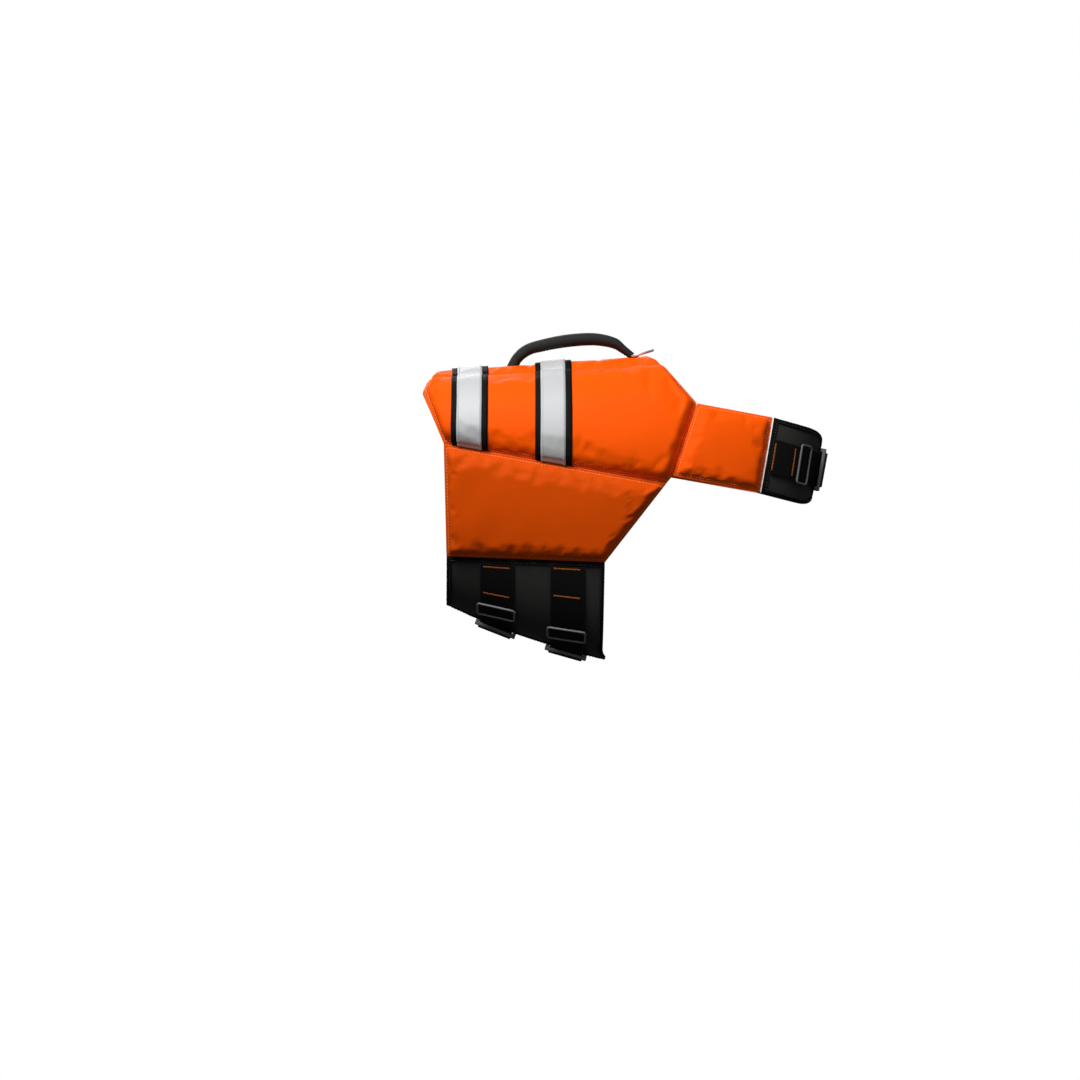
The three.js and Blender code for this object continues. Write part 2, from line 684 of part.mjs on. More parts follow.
function bucklePieces() {
  const b = BUCKLE;
  const body = buckleBody();
  const wide = b.halfWide + 1;
  const tall = b.crown + 1;
  const arm = (gap, hand) =>
    block([hand * (b.armInside - gap), b.armTo - gap, 0], [hand * wide, b.plugFrom + 1, tall]);
  const head = (gap) => block([-wide, b.plugFrom - gap, 0], [wide, b.halfLong + 1, tall]);
  const plugRoom = (gap) => head(gap).add(arm(gap, 1)).add(arm(gap, -1));
  return {
    socket: geometryOf(body.subtract(plugRoom(SEAM_GAP))),
    plug: geometryOf(body.intersect(plugRoom(0))),
  };
}
const buckle = bucklePieces();

// SLIDERS
function sliderSolid() {
  const s = SLIDER;
  const overWeb = LAY_GAP + WEB.thick + SEAM_GAP;
  const end = s.halfLong;
  const parts = [block([-s.halfWide, -s.middle, s.low], [s.halfWide, s.middle, s.low + s.middle])];
  for (const hand of [-1, 1]) {
    parts.push(block([hand * s.halfWide, -end, s.low], [hand * (s.halfWide - s.side), end, s.high]));
    parts.push(block([-s.halfWide, hand * end, overWeb], [s.halfWide, hand * (end - s.bar), s.high]));
  }
  return geometryOf(parts.reduce((all, piece) => all.add(piece)));
}
const slider = sliderSolid();

// STRAPS
// A place on a flap's face with its first axis across the strap, its second along it and its third out
function frameAt(point, normal, along) {
  const across = along.clone().cross(normal).normalize();
  const out = normal.clone().normalize();
  return new THREE.Matrix4().makeBasis(across, out.clone().cross(across), out).setPosition(point);
}

// A strap is sewn to its flap at its start, passes through its slider, leaves the flap on a straight
// line and turns up through the buckle's slot. place(across, run) is a point of the flap's inner face
// with its normal.
function strapWall({ place, total, sliderRun, buckleFrame }) {
  const LEAVE_STEP = 0.5;
  const inBuckle = (across, along, out) => vec(-across, along, out).applyMatrix4(buckleFrame);
  const slotRun = BUCKLE.slotFar - SEAM_GAP;
  const slotLow = BUCKLE.face - SEAM_GAP - WEB.thick;
  const out = vec(0, 0, 1).transformDirection(buckleFrame);
  const sliderStops = [
    { run: sliderRun - HUMP.halfFoot, lift: 0 },
    { run: sliderRun - HUMP.halfTop, lift: HUMP.lift },
    { run: sliderRun + HUMP.halfTop, lift: HUMP.lift },
    { run: sliderRun + HUMP.halfFoot, lift: 0 },
  ];
  const sewn = BINDING.wide + STRAP_START;
  const plainCount = Math.ceil((sliderStops[0].run - sewn) / STRAP_STEP);
  const plainStops = Array.from({ length: plainCount }, (_, k) => {
    return { run: lerp(sewn, sliderStops[0].run, k / plainCount), lift: 0 };
  });
  const lines = [-WEB.wide / 2, 0, WEB.wide / 2].map((across) => {
    const onFace = (run, lift) => {
      const { point, normal } = place(across, run);
      return point.clone().addScaledVector(normal, FLAP_THICK + LAY_GAP + lift);
    };
    const slot = inBuckle(across, slotRun - WEB.thick, slotLow);
    // a taut strap touches the flap last where its line to the slot is flattest
    const steepness = (run) => {
      const way = slot.clone().sub(onFace(run, 0));
      return way.dot(out) / way.clone().projectOnPlane(out).length();
    };
    let leave = sliderRun;
    for (let run = sliderRun; run < total - BUCKLE.halfLong; run += LEAVE_STEP) {
      if (steepness(run) < steepness(leave)) leave = run;
    }
    const left = onFace(leave, 0);
    const way = slot.clone().sub(left).normalize();
    const atRun = ({ run, lift }) => {
      if (run <= leave) return onFace(run, lift);
      const lifted = left.clone().addScaledVector(place(across, leave).normal, lift);
      return lifted.addScaledVector(way, run - leave);
    };
    const stops = [...plainStops, ...sliderStops, { run: Math.max(leave, sliderRun + HUMP.clear), lift: 0 }];
    return {
      under: [...stops.map(atRun), slot, inBuckle(across, slotRun - WEB.thick, BUCKLE.rim)],
      over: [
        ...stops.map(({ run, lift }) => atRun({ run, lift: lift + WEB.thick })),
        inBuckle(across, slotRun, slotLow + WEB.thick),
        inBuckle(across, slotRun, BUCKLE.rim),
      ],
    };
  });
  return wall(lines.map((line) => line.under), lines.map((line) => line.over));
}

function addStrap(name, webName, strap) {
  addPair(`${name}_webbing${webName}`, strapWall(strap), BLACK_WEBBING);
  const { point, normal } = strap.place(0, strap.sliderRun);
  const ahead = strap.place(0, strap.sliderRun + 1).point;
  const seat = point.clone().addScaledVector(normal, FLAP_THICK);
  const along = ahead.sub(point);
  add(`${name}_slider${webName}_left`, slider, GREY_PLASTIC, frameAt(seat, normal, along));
  const rightFrame = frameAt(mirrored(seat), mirrored(normal), mirrored(along));
  add(`${name}_slider${webName}_right`, slider, GREY_PLASTIC, rightFrame);
  add(`${name}_buckle${webName}_socket`, buckle.socket, GREY_PLASTIC, strap.buckleFrame);
  add(`${name}_buckle${webName}_plug`, buckle.plug, GREY_PLASTIC, strap.buckleFrame);
}

// Belly straps run down the girth and meet under the belly.
for (const { name, x, sliderRise } of BELLY_STRAPS) {
  const total = bellyMiddleAt(x) - hemAt(x);
  const normal = figureNormal(x, bellyMiddleAt(x));
  const seat = onFigure(x, bellyMiddleAt(x)).addScaledVector(normal, FLAP_THICK);
  const belly = smoothAt(FIGURE, "belly", x);
  addStrap("belly", `_${name}`, {
    place: (across, run) => {
      const at = x + across / spreadAt(x, lerp(hemAt(x), bellyMiddleAt(x), run / total));
      const girth = lerp(hemAt(at), bellyMiddleAt(at), run / total);
      return { point: onFigure(at, girth), normal: figureNormal(at, girth) };
    },
    total,
    sliderRun: girthAtHeight(x, belly + sliderRise) - hemAt(x),
    buckleFrame: frameAt(seat, normal, vec(0, 1, 0)),
  });
}

// The chest straps run forward along the band and meet in front.
const chestStart = (across) => pipingArc(across) - PIPING.wide;
const chestNormal = bandNormal(0, 0);
addStrap("chest", "", {
  place: (across, run) => {
    const arc = chestStart(across) * (1 - run / chestStart(0));
    return { point: onBand(arc, across), normal: bandNormal(arc, across) };
  },
  total: chestStart(0),
  sliderRun: chestStart(0) - bandLevel(0).arcAt(BAND.reach - CHEST_SLIDER_SETBACK),
  buckleFrame: frameAt(onBand(0, 0).addScaledVector(chestNormal, FLAP_THICK), chestNormal, vec(0, 1, 0)),
});

// HANDLE
// Rounded rings across the handle's middle line. The foot rings lie flat on the spine panel.
function handleRings() {
  const otherHalf = HANDLE_SECTION.slice(1, -1).map(({ thick, wide }) => ({ thick, wide: -wide }));
  const ring = [...HANDLE_SECTION, ...otherHalf.reverse()];
  const spineSlope = Math.atan(BACK_SLOPE);
  return HANDLE.map((station, i) => {
    const before = HANDLE[Math.max(i - 1, 0)];
    const after = HANDLE[Math.min(i + 1, HANDLE.length - 1)];
    const direction = Math.atan2(after.z - before.z, after.x - before.x);
    const foot = i === 0 || i === HANDLE.length - 1;
    const lean = foot ? spineSlope : direction + Math.PI / 2;
    const flare = foot ? 1 / Math.abs(Math.sin(direction - spineSlope)) : 1;
    const flip = i === 0 ? -1 : 1;
    const thickWay = vec(Math.cos(lean), 0, Math.sin(lean)).multiplyScalar(flip * flare * station.thick);
    return ring.map(({ thick, wide }) => {
      return vec(station.x, -wide * HANDLE_WIDE, station.z).addScaledVector(thickWay, thick);
    });
  });
}

// LEASH RING
function ringPath(deepest) {
  const r = RING;
  const half = (r.inside + r.rod) / 2;
  const steps = RING_STEPS;
  const path = [];
  for (let k = 0; k <= steps.straight; k++) {
    path.push(vec(0, (half - r.corner) * ((2 * k) / steps.straight - 1), 0));
  }
  for (let k = 1; k <= steps.corner; k++) {
    const angle = (k / steps.corner) * (Math.PI / 2);
    path.push(vec(r.corner * (1 - Math.cos(angle)), half - r.corner * (1 - Math.sin(angle)), 0));
  }
  for (let k = 1; k < steps.bow; k++) {
    const angle = (k / steps.bow) * Math.PI;
    path.push(vec(r.corner + (deepest - r.corner) * Math.sin(angle), half * Math.cos(angle), 0));
  }
  for (let k = steps.corner; k >= 1; k--) {
    const angle = (k / steps.corner) * (Math.PI / 2);
    path.push(vec(r.corner * (1 - Math.cos(angle)), -half + r.corner * (1 - Math.sin(angle)), 0));
  }
  return path;
}

function rodAlong(path, radius, sides) {
  const rings = path.map((p, i) => {
    const before = path[(i + path.length - 1) % path.length];
    const after = path[(i + 1) % path.length];
    const way = after.clone().sub(before).normalize();
    const inward = vec(0, 0, 1).cross(way);
    return Array.from({ length: sides }, (_, k) => {
      const angle = (k / sides) * 2 * Math.PI;
      const spoke = inward.clone().multiplyScalar(Math.cos(angle)).add(vec(0, 0, Math.sin(angle)));
      return p.clone().addScaledVector(spoke, radius);
    });
  });
  return loft(rings, true);
}

const ringFrame = new THREE.Matrix4().makeRotationY(-degToRad(RING.tilt)).setPosition(RING.x, 0, RING.z);
add("leash_ring", rodAlong(ringPath(RING.deep), RING.rod / 2, RING_STEPS.round), STEEL, ringFrame);

const tunnelRadius = RING.rod / 2 + RING.runningGap;
const tunnel = new THREE.CylinderGeometry(tunnelRadius, tunnelRadius, 2 * HANDLE_WIDE, RING_STEPS.round);
const handle = solidOf(loft(handleRings())).subtract(solidOf(tunnel.translate(RING.x, 0, RING.z)));
add("handle", geometryOf(handle), HANDLE_SLEEVE);

export default jacket;
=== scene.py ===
from math import cos, pi, radians, sin, tau

import bmesh
import bpy
import numpy as np
from mathutils import Matrix, Vector


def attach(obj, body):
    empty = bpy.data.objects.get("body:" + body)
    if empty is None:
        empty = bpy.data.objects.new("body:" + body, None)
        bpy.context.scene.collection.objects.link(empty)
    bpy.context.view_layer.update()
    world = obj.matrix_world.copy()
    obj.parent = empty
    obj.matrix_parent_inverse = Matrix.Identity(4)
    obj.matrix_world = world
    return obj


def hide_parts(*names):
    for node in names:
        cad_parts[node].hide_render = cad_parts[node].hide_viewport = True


# A life jacket for a pet, dressed over its solids. Sizes are in millimetres, with +X towards the neck
# opening, +Y to the jacket's left and +Z up. Meshes are made in metres.
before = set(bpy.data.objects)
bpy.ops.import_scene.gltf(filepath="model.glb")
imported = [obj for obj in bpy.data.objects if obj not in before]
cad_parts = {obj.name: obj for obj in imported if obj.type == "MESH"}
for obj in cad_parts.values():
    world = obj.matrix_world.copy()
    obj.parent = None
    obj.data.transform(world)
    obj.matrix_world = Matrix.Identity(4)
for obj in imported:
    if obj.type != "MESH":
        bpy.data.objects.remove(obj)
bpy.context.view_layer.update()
MM = 0.001

# CAMERA
# Square to the right side of the jacket, level with it, and far off, so that depth hardly changes
# the size at which a piece is seen.
VIEW_CENTRE = Vector((-3.3, 0, -181.9)) * MM
VIEW_WIDTH = 1188 * MM
LENS = 400
SENSOR = 36
camera = bpy.data.objects.new("camera", bpy.data.cameras.new("camera"))
camera.data.lens = LENS
camera.data.sensor_width = SENSOR
camera.location = VIEW_CENTRE + Vector((0, -VIEW_WIDTH * LENS / SENSOR, 0))
camera.rotation_euler = (radians(90), 0, 0)
camera.data.clip_end = 100
bpy.context.scene.collection.objects.link(camera)
bpy.context.scene.camera = camera

# FOAM PANELS OVER THE BACK AND FLANKS
# Each is closed-cell foam between two layers of orange polyester oxford cloth. The layers are seamed
# together along the panel's edges and topstitched beside the seams, and the foam swells between them.
ORANGE = (1.0, 0.1, 0.0004)
# the side panels' orange: the same cloth painted darker, as painted shade where they turn under
SHADED_ORANGE = (0.72, 0.076, 0.0003)
# the orange cloth's edge colour: worn paler, with a painted highlight
WORN_HIGHLIGHT_ORANGE = (1.0, 0.3, 0.09)
SEAM_GAP = 0.08
SPINE_HALF = 37
HEM = {"at_origin": -203.1, "slope": -0.04}
BACK_SLOPE = 0.0714
WIDEST = {"at_origin": -95.7, "slope": -0.18}
UPPER_POWER = 2.3
LOWER_POWER = 2.6
KEEL_TAPER = 0.1
FORM = [
    {"x": -200, "belly": -197.7, "half": 68},
    {"x": -140, "belly": -231.5, "half": 81},
    {"x": -80, "belly": -260.2, "half": 90},
    {"x": -20, "belly": -283.8, "half": 96},
    {"x": 40, "belly": -302.2, "half": 99},
    {"x": 100, "belly": -315.5, "half": 98},
    {"x": 160, "belly": -323.7, "half": 92},
    {"x": 220, "belly": -326.7, "half": 80},
]
# each panel's rough span, its thickness at the seams and inside, and how far it swells from each edge
PADS = {
    "spine": {"span": (255, 74), "seam": 4, "full": 10.5, "rear": 7, "front": 7, "top": 11, "bottom": 11},
    "back": {"span": (270, 110), "seam": 4, "full": 13.5, "rear": 8, "front": 12, "top": 12, "bottom": 13},
    "side": {"span": (210, 120), "seam": 4, "full": 12.5, "rear": 9, "front": 10, "top": 13, "bottom": 10},
    "chest": {"span": (105, 82), "seam": 4, "full": 9.5, "rear": 11, "front": 8, "top": 8, "bottom": 8},
}
# each edge with the coordinate that changes along it
EDGES = {"rear": "b", "front": "b", "top": "a", "bottom": "a"}
PUCKER = {"wave": 17, "slant": 0.35, "inset": 8.5, "spread": 5.5, "high": 0.34}
SWELL = {"wave": 62, "inset": 6, "run": 20, "high": 0.35, "seed": 9}
EDGE_ROLL = {"wide": 1.7, "deep": 1.5}
STITCH_LINE = {"wide": 0.9, "deep": 0.7}
SPINE_REAR = {"middle": -124, "corner": -4, "power": 2}
SPINE_FRONT = {"middle": 125.3, "corner": 10.4, "power": 1.5}
BACK_REAR = [{"z": -76.2, "x": -108.2}, {"z": -22.5, "x": -131.7}, {"z": -13.5, "x": -128}]
BACK_FRONT = [
    {"z": -120, "x": 134.6},
    {"z": -112.6, "x": 140.7},
    {"z": -33.6, "x": 168.1},
    {"z": 5, "x": 134},
]
SIDE_REAR = [{"z": -198.9, "x": -105.1}, {"z": -76.2, "x": -108.2}]
SIDE_FRONT = [{"z": -205.8, "x": 67.8}, {"z": -120, "x": 134.6}]
GRID_STEP = 2.4
EDGE_STEPS = (0, 0.35, 0.9, 1.7, 2.8, 3.6, 4.2, 4.8, 5.8, 7.4, 9.4)
TOPSTITCH_INSET = 3.6
PAD_FOOT = 2.6
SECTION_STEPS = 240
SIDES = {"left": 1, "right": -1}


def curve_through(rows, place):
    """A smooth curve through rows of values, read at places counted in rows."""
    rows = np.asarray(rows, float)
    place = np.clip(place, 0, len(rows) - 1.001)
    i = np.floor(place).astype(int)
    t = np.reshape(place - i, np.shape(place) + (1,) * (rows.ndim - 1))
    a, b, c, d = (rows[np.clip(i + k, 0, len(rows) - 1)] for k in (-1, 0, 1, 2))
    return b + 0.5 * t * (c - a + t * (2 * a - 5 * b + 4 * c - d + t * (3 * (b - c) + d - a)))


def form_at(column, x):
    """One column of the form's table at x."""
    step = FORM[1]["x"] - FORM[0]["x"]
    return curve_through([row[column] for row in FORM], (x - FORM[0]["x"]) / step)


def distance_along(points):
    """How far each point of a line lies from its start."""
    return np.concatenate([[0], np.cumsum(np.linalg.norm(np.diff(points, axis=0), axis=1))])


def form_section(x):
    """The left half of the form's section at x, from the middle of the back to that of the belly."""
    angle = np.linspace(0, pi, SECTION_STEPS + 1)
    upper = angle <= pi / 2
    power = 2 / np.where(upper, UPPER_POWER, LOWER_POWER)
    out = np.maximum(np.sin(angle), 0) ** power
    up = np.abs(np.cos(angle)) ** power
    widest = WIDEST["at_origin"] + WIDEST["slope"] * x
    reach = np.where(upper, BACK_SLOPE * x, form_at("belly", x)) - widest
    taper = np.where(upper, 1, 1 - KEEL_TAPER * up)
    y = form_at("half", x) * out * taper
    z = widest + up * reach
    girth = distance_along(np.stack([y, z], -1))
    return {"y": y, "z": z, "girth": girth, "fold": girth[SECTION_STEPS // 2], "total": girth[-1]}


def sampler(values, rows, columns):
    """Reads a table of values at any place between its evenly spaced rows and columns."""

    def at(a, b):
        a, b = np.broadcast_arrays(np.asarray(a, float), np.asarray(b, float))
        p = np.clip((a - rows[0]) / (rows[1] - rows[0]), 0, len(rows) - 1.001)
        q = np.clip((b - columns[0]) / (columns[1] - columns[0]), 0, len(columns) - 1.001)
        i, j = p.astype(int), q.astype(int)
        s, t = (p - i)[..., None], (q - j)[..., None]
        near = values[i, j] * (1 - t) + values[i, j + 1] * t
        far = values[i + 1, j] * (1 - t) + values[i + 1, j + 1] * t
        return near * (1 - s) + far * s

    return at


def unit(v):
    return v / np.maximum(np.linalg.norm(v, axis=-1, keepdims=True), 1e-9)


FORM_X = np.arange(-160, 221, 2.0)
FORM_GIRTH = np.arange(-100, 560, 1.0)
form_sections = [form_section(x) for x in FORM_X]
form_points = np.zeros((len(FORM_X), len(FORM_GIRTH), 3))
for i, section in enumerate(form_sections):
    past_belly = FORM_GIRTH > section["total"]
    folded = np.where(past_belly, 2 * section["total"] - FORM_GIRTH, np.abs(FORM_GIRTH))
    hand = np.where(past_belly | (FORM_GIRTH < 0), -1, 1)
    form_points[i, :, 0] = FORM_X[i]
    form_points[i, :, 1] = hand * np.interp(folded, section["girth"], section["y"])
    form_points[i, :, 2] = np.interp(folded, section["girth"], section["z"])
form_normals = unit(np.cross(np.gradient(form_points, axis=0), np.gradient(form_points, axis=1)))
on_form = sampler(form_points, FORM_X, FORM_GIRTH)
form_normal = sampler(form_normals, FORM_X, FORM_GIRTH)


def girth_at_height(x, z):
    return np.array([np.interp(-z_, -s["z"], s["girth"]) for z_, s in zip(z, map(form_section, x))])


hem_table = girth_at_height(FORM_X, HEM["at_origin"] + HEM["slope"] * FORM_X)


def fold_at(x):
    return np.interp(x, FORM_X, [s["fold"] for s in form_sections])


def hem_at(x):
    return np.interp(x, FORM_X, hem_table)


def belly_middle_at(x):
    return np.interp(x, FORM_X, [s["total"] for s in form_sections])


def edge_at(table, z):
    """The X of a panel's edge at a height. The first and last stretch run on straight."""
    heights = np.array([row["z"] for row in table], float)
    places = np.array([row["x"] for row in table], float)
    i = np.clip(np.searchsorted(heights, z) - 1, 0, len(table) - 2)
    share = (z - heights[i]) / (heights[i + 1] - heights[i])
    return places[i] + (places[i + 1] - places[i]) * share


def bowed(edge, part):
    return edge["middle"] + edge["corner"] * np.abs(2 * part - 1) ** edge["power"]


def stations(length):
    """Shares of a length, close together near both ends and even between them."""
    edge = np.array(EDGE_STEPS) / length
    middle = np.linspace(edge[-1], 1 - edge[-1], max(int(length / GRID_STEP), 4))[1:-1]
    return np.concatenate([edge, middle, 1 - edge[::-1]])


def unevenness(a, b, wave, seed):
    """Soft irregular swells about 1 high, of roughly that wavelength."""
    source = np.random.default_rng(seed)
    total = 0
    for _ in range(8):
        turn, phase = source.uniform(0, pi), source.uniform(0, tau)
        pitch = wave * source.uniform(0.7, 1.5)
        total = total + np.sin(tau * (a * cos(turn) + b * sin(turn)) / pitch + phase)
    return total / 8**0.5


def form_grid(span, top, bottom, rear, front):
    """Places on the form between four edges, as X and girth, with each place's distance to the edges."""
    u = stations(span[0])[:, None]
    v = stations(span[1])[None, :]
    x = np.zeros((u.size, v.size))
    for _ in range(6):
        along = top(x) + (bottom(x) - top(x)) * v
        z = on_form(x, along)[..., 2]
        near, far = rear(z, v + 0 * x), front(z, v + 0 * x)
        x = near + (far - near) * u
    along = top(x) + (bottom(x) - top(x)) * v
    away = {"rear": x - near, "front": far - x, "top": along - top(x), "bottom": bottom(x) - along}
    return {"a": x, "b": along, "away": away, "inner": on_form(x, along), "normal": form_normal(x, along)}


def nearest_edge(grid):
    return np.minimum.reduce(list(grid["away"].values()))


def smooth_step(value):
    value = np.clip(value, 0, 1)
    return value * value * (3 - 2 * value)


def pad_height(grid, pad, seed):
    """A stitched foam panel's thickness: thin at the seams, pulled down along the topstitching, full
    inside, with short puckers beside the stitching and the foam's own slow swells."""
    nearest = nearest_edge(grid)
    rise, pucker = 1, 0
    for k, (edge, run) in enumerate(EDGES.items()):
        away = grid["away"][edge]
        share = np.clip((away - PAD_FOOT) / pad[edge], 0, 1)
        rise = rise * (1 - (1 - share) ** 2) ** 0.8
        wave = unevenness(grid[run], PUCKER["slant"] * away, PUCKER["wave"], seed + k)
        pucker = pucker + wave * np.exp(-(((away - PUCKER["inset"]) / PUCKER["spread"]) ** 2))
    roll_share = 1 - np.clip(nearest / EDGE_ROLL["wide"], 0, 1)
    edge_roll = EDGE_ROLL["deep"] * (1 - np.sqrt(1 - roll_share**2))
    stitch_line = STITCH_LINE["deep"] * np.exp(-(((nearest - TOPSTITCH_INSET) / STITCH_LINE["wide"]) ** 2))
    swell_share = smooth_step((nearest - SWELL["inset"]) / SWELL["run"])
    swell = unevenness(grid["a"], grid["b"], SWELL["wave"], seed + SWELL["seed"]) * swell_share
    height = pad["seam"] + (pad["full"] - pad["seam"]) * rise
    return height - edge_roll - stitch_line + PUCKER["high"] * pucker * rise + SWELL["high"] * swell


def mesh_object(name, points, faces, cloth=None):
    """A mesh from points in millimetres. The cloth attribute holds each point's place on its cloth."""
    mesh = bpy.data.meshes.new(name)
    mesh.from_pydata((np.asarray(points, float) * MM).tolist(), [], faces)
    if cloth is not None:
        attribute = mesh.attributes.new("cloth", "FLOAT_VECTOR", "POINT")
        attribute.data.foreach_set("vector", np.asarray(cloth, np.float32).ravel())
    mesh.polygons.foreach_set("use_smooth", [True] * len(mesh.polygons))
    mesh.update()
    made = bpy.data.objects.new(name, mesh)
    bpy.context.scene.collection.objects.link(made)
    return made


def grid_loop(values):
    """The edge of a grid, once round."""
    return np.concatenate([values[:-1, 0], values[-1, :-1], values[:0:-1, -1], values[0, :0:-1]])


def grid_faces(grid):
    """The number of each point of a grid, and the faces between them."""
    index = np.arange(grid.shape[0] * grid.shape[1]).reshape(grid.shape[:2])
    quads = np.stack([index[:-1, :-1], index[1:, :-1], index[1:, 1:], index[:-1, 1:]], -1)
    return index, quads.reshape(-1, 4)


def shell(name, inner, outer, cloth, hand=1):
    """A closed wall between an inner and an outer grid of points, mirrored where hand is -1."""
    index, quads = grid_faces(inner)
    ring = grid_loop(index)
    ahead = np.roll(ring, -1)
    rim = np.stack([ring, ahead, ahead + index.size, ring + index.size], -1)
    faces = np.concatenate([quads + index.size, quads[:, ::-1], rim])
    if hand < 0:
        faces = faces[:, ::-1]
    points = np.concatenate([inner.reshape(-1, 3), outer.reshape(-1, 3)]) * (1, hand, 1)
    places = np.concatenate([cloth.reshape(-1, 3)] * 2)
    return mesh_object(name, points, faces.tolist(), places)


def cloth_of(grid):
    return np.stack([grid["a"], grid["b"], nearest_edge(grid)], -1)


class Nodes:
    """Makes and links the nodes of one material or group."""

    def __init__(self, tree):
        self.tree = tree

    def add(self, kind, inputs=(), **settings):
        node = self.tree.nodes.new(kind)
        for key, value in settings.items():
            setattr(node, key, value)
        for key, value in dict(inputs).items():
            self.put(node.inputs[key], value)
        return node

    def put(self, socket, value):
        if isinstance(value, bpy.types.NodeSocket):
            self.tree.links.new(value, socket)
        else:
            socket.default_value = (*value, 1) if socket.type == "RGBA" and len(value) == 3 else value

    def math(self, operation, *values):
        return self.add("ShaderNodeMath", enumerate(values), operation=operation).outputs[0]

    def mix(self, share, a, b):
        node = self.add("ShaderNodeMix", data_type="RGBA")
        self.put(node.inputs[0], share)
        self.put(node.inputs[6], a)
        self.put(node.inputs[7], b)
        return node.outputs[2]

    def cloth(self):
        """Each point's place on its cloth: along, across and in from the edge."""
        return self.add("ShaderNodeAttribute", attribute_name="cloth").outputs["Vector"]

    def relief(self, shader, height, deep, strength=1.0):
        """Fine relief that deep in millimetres, from a height."""
        bump = self.add("ShaderNodeBump", {"Strength": strength, "Distance": deep * MM, "Height": height})
        self.put(shader["Normal"], bump.outputs[0])

    def effect(self, tree, **inputs):
        """Places a node group with its own values."""
        return self.add("ShaderNodeGroup", inputs, node_tree=tree).outputs


def group(name, inputs, outputs):
    """A node group with named sockets. Returns its nodes, its input sockets and its output node."""
    tree = bpy.data.node_groups.new(name, "ShaderNodeTree")
    kinds = {"Vector": "NodeSocketVector", "Color": "NodeSocketColor", "Float": "NodeSocketFloat"}
    for label, kind in inputs.items():
        tree.interface.new_socket(label, in_out="INPUT", socket_type=kinds[kind])
    for label, kind in outputs.items():
        tree.interface.new_socket(label, in_out="OUTPUT", socket_type=kinds[kind])
    nodes = Nodes(tree)
    return nodes, nodes.add("NodeGroupInput").outputs, nodes.add("NodeGroupOutput").inputs


def weave_group(name):
    return group(name, {"Vector": "Vector", "Pitch": "Float"}, {"Height": "Float", "Gap": "Float"})


def plain_weave():
    """Warp and weft of a plain weave: a height, and how far each place lies down between the threads."""
    n, given, put = weave_group("plain weave")
    split = n.add("ShaderNodeSeparateXYZ", {0: given["Vector"]})
    turns = [n.math("DIVIDE", split.outputs[k], given["Pitch"]) for k in (0, 1)]
    waves = [n.math("SINE", n.math("MULTIPLY", t, pi)) for t in turns]
    over = n.math("MULTIPLY", waves[0], waves[1])
    n.put(put["Height"], n.math("MULTIPLY_ADD", over, 0.5, 0.5))
    n.put(put["Gap"], n.math("SUBTRACT", 1.0, n.math("ABSOLUTE", over)))
    return n.tree


def cloth_tone():
    """Cloth is never one even colour: threads take the dye unevenly. It is painted darker between its
    threads, as painted shade, and its edges turn paler, worn and with a painted highlight.
    """
    sockets = {"Color": "Color", "Rubbed": "Color", "Vector": "Vector"}
    sockets.update({"Gap": "Float", "Uneven": "Float", "Wear": "Float"})
    n, given, put = group("cloth tone", sockets, {"Color": "Color"})
    streaks = n.add("ShaderNodeTexNoise", {"Vector": given["Vector"], "Scale": 0.045, "Detail": 4})
    slub = n.add("ShaderNodeTexNoise", {"Vector": given["Vector"], "Scale": 1.3, "Detail": 2})
    tone = n.math("MULTIPLY_ADD", streaks.outputs[0], 0.6, n.math("MULTIPLY", slub.outputs[0], 0.4))
    centred = n.math("SUBTRACT", tone, 0.5)
    value = n.math("MULTIPLY_ADD", centred, given["Uneven"], 1.0)
    # painted shade: darker where the weave lies down between its threads
    depth = n.math("SUBTRACT", value, n.math("MULTIPLY", given["Gap"], 0.12))
    toned = n.add("ShaderNodeHueSaturation", {"Value": depth, "Color": given["Color"]})
    from_edge = n.add("ShaderNodeSeparateXYZ", {0: given["Vector"]}).outputs[2]
    # paler within 1.6 of the edge: wear, with a painted highlight
    edge = n.math("MAXIMUM", n.math("SUBTRACT", 1.0, n.math("DIVIDE", from_edge, 1.6)), 0.0)
    n.put(put["Color"], n.mix(n.math("MULTIPLY", edge, given["Wear"]), toned.outputs[0], given["Rubbed"]))
    return n.tree


PLAIN_WEAVE = plain_weave()
CLOTH_TONE = cloth_tone()


def material(name):
    made = bpy.data.materials.new(name)
    made.use_nodes = True
    made.node_tree.nodes.clear()
    nodes = Nodes(made.node_tree)
    shader = nodes.add("ShaderNodeBsdfPrincipled")
    nodes.put(nodes.add("ShaderNodeOutputMaterial").inputs[0], shader.outputs[0])
    return made, nodes, shader.inputs


def woven_cloth(name, color, rubbed, pitch, uneven, wear, roughness, bump, gloss, weave_tree=PLAIN_WEAVE):
    made, nodes, shader = material(name)
    cloth = nodes.cloth()
    weave = nodes.effect(weave_tree, Vector=cloth, Pitch=pitch)
    tone = nodes.effect(
        CLOTH_TONE, Color=color, Rubbed=rubbed, Vector=cloth, Gap=weave["Gap"], Uneven=uneven, Wear=wear
    )
    nodes.put(shader["Base Color"], tone["Color"])
    nodes.put(shader["Roughness"], nodes.math("MULTIPLY_ADD", weave["Gap"], 0.12, roughness))
    nodes.relief(shader, weave["Height"], bump)
    shader["Specular IOR Level"].default_value = gloss
    return made


def oxford_cloth(name, color):
    return woven_cloth(
        name, color, WORN_HIGHLIGHT_ORANGE,
        pitch=0.9, uneven=0.16, wear=0.25, roughness=0.52, bump=0.1, gloss=0.05,
    )


orange_cloth = oxford_cloth("orange oxford cloth", ORANGE)
# the same orange cloth painted darker, as painted shade for the side panels
shaded_orange_cloth = oxford_cloth("deep orange oxford cloth", SHADED_ORANGE)


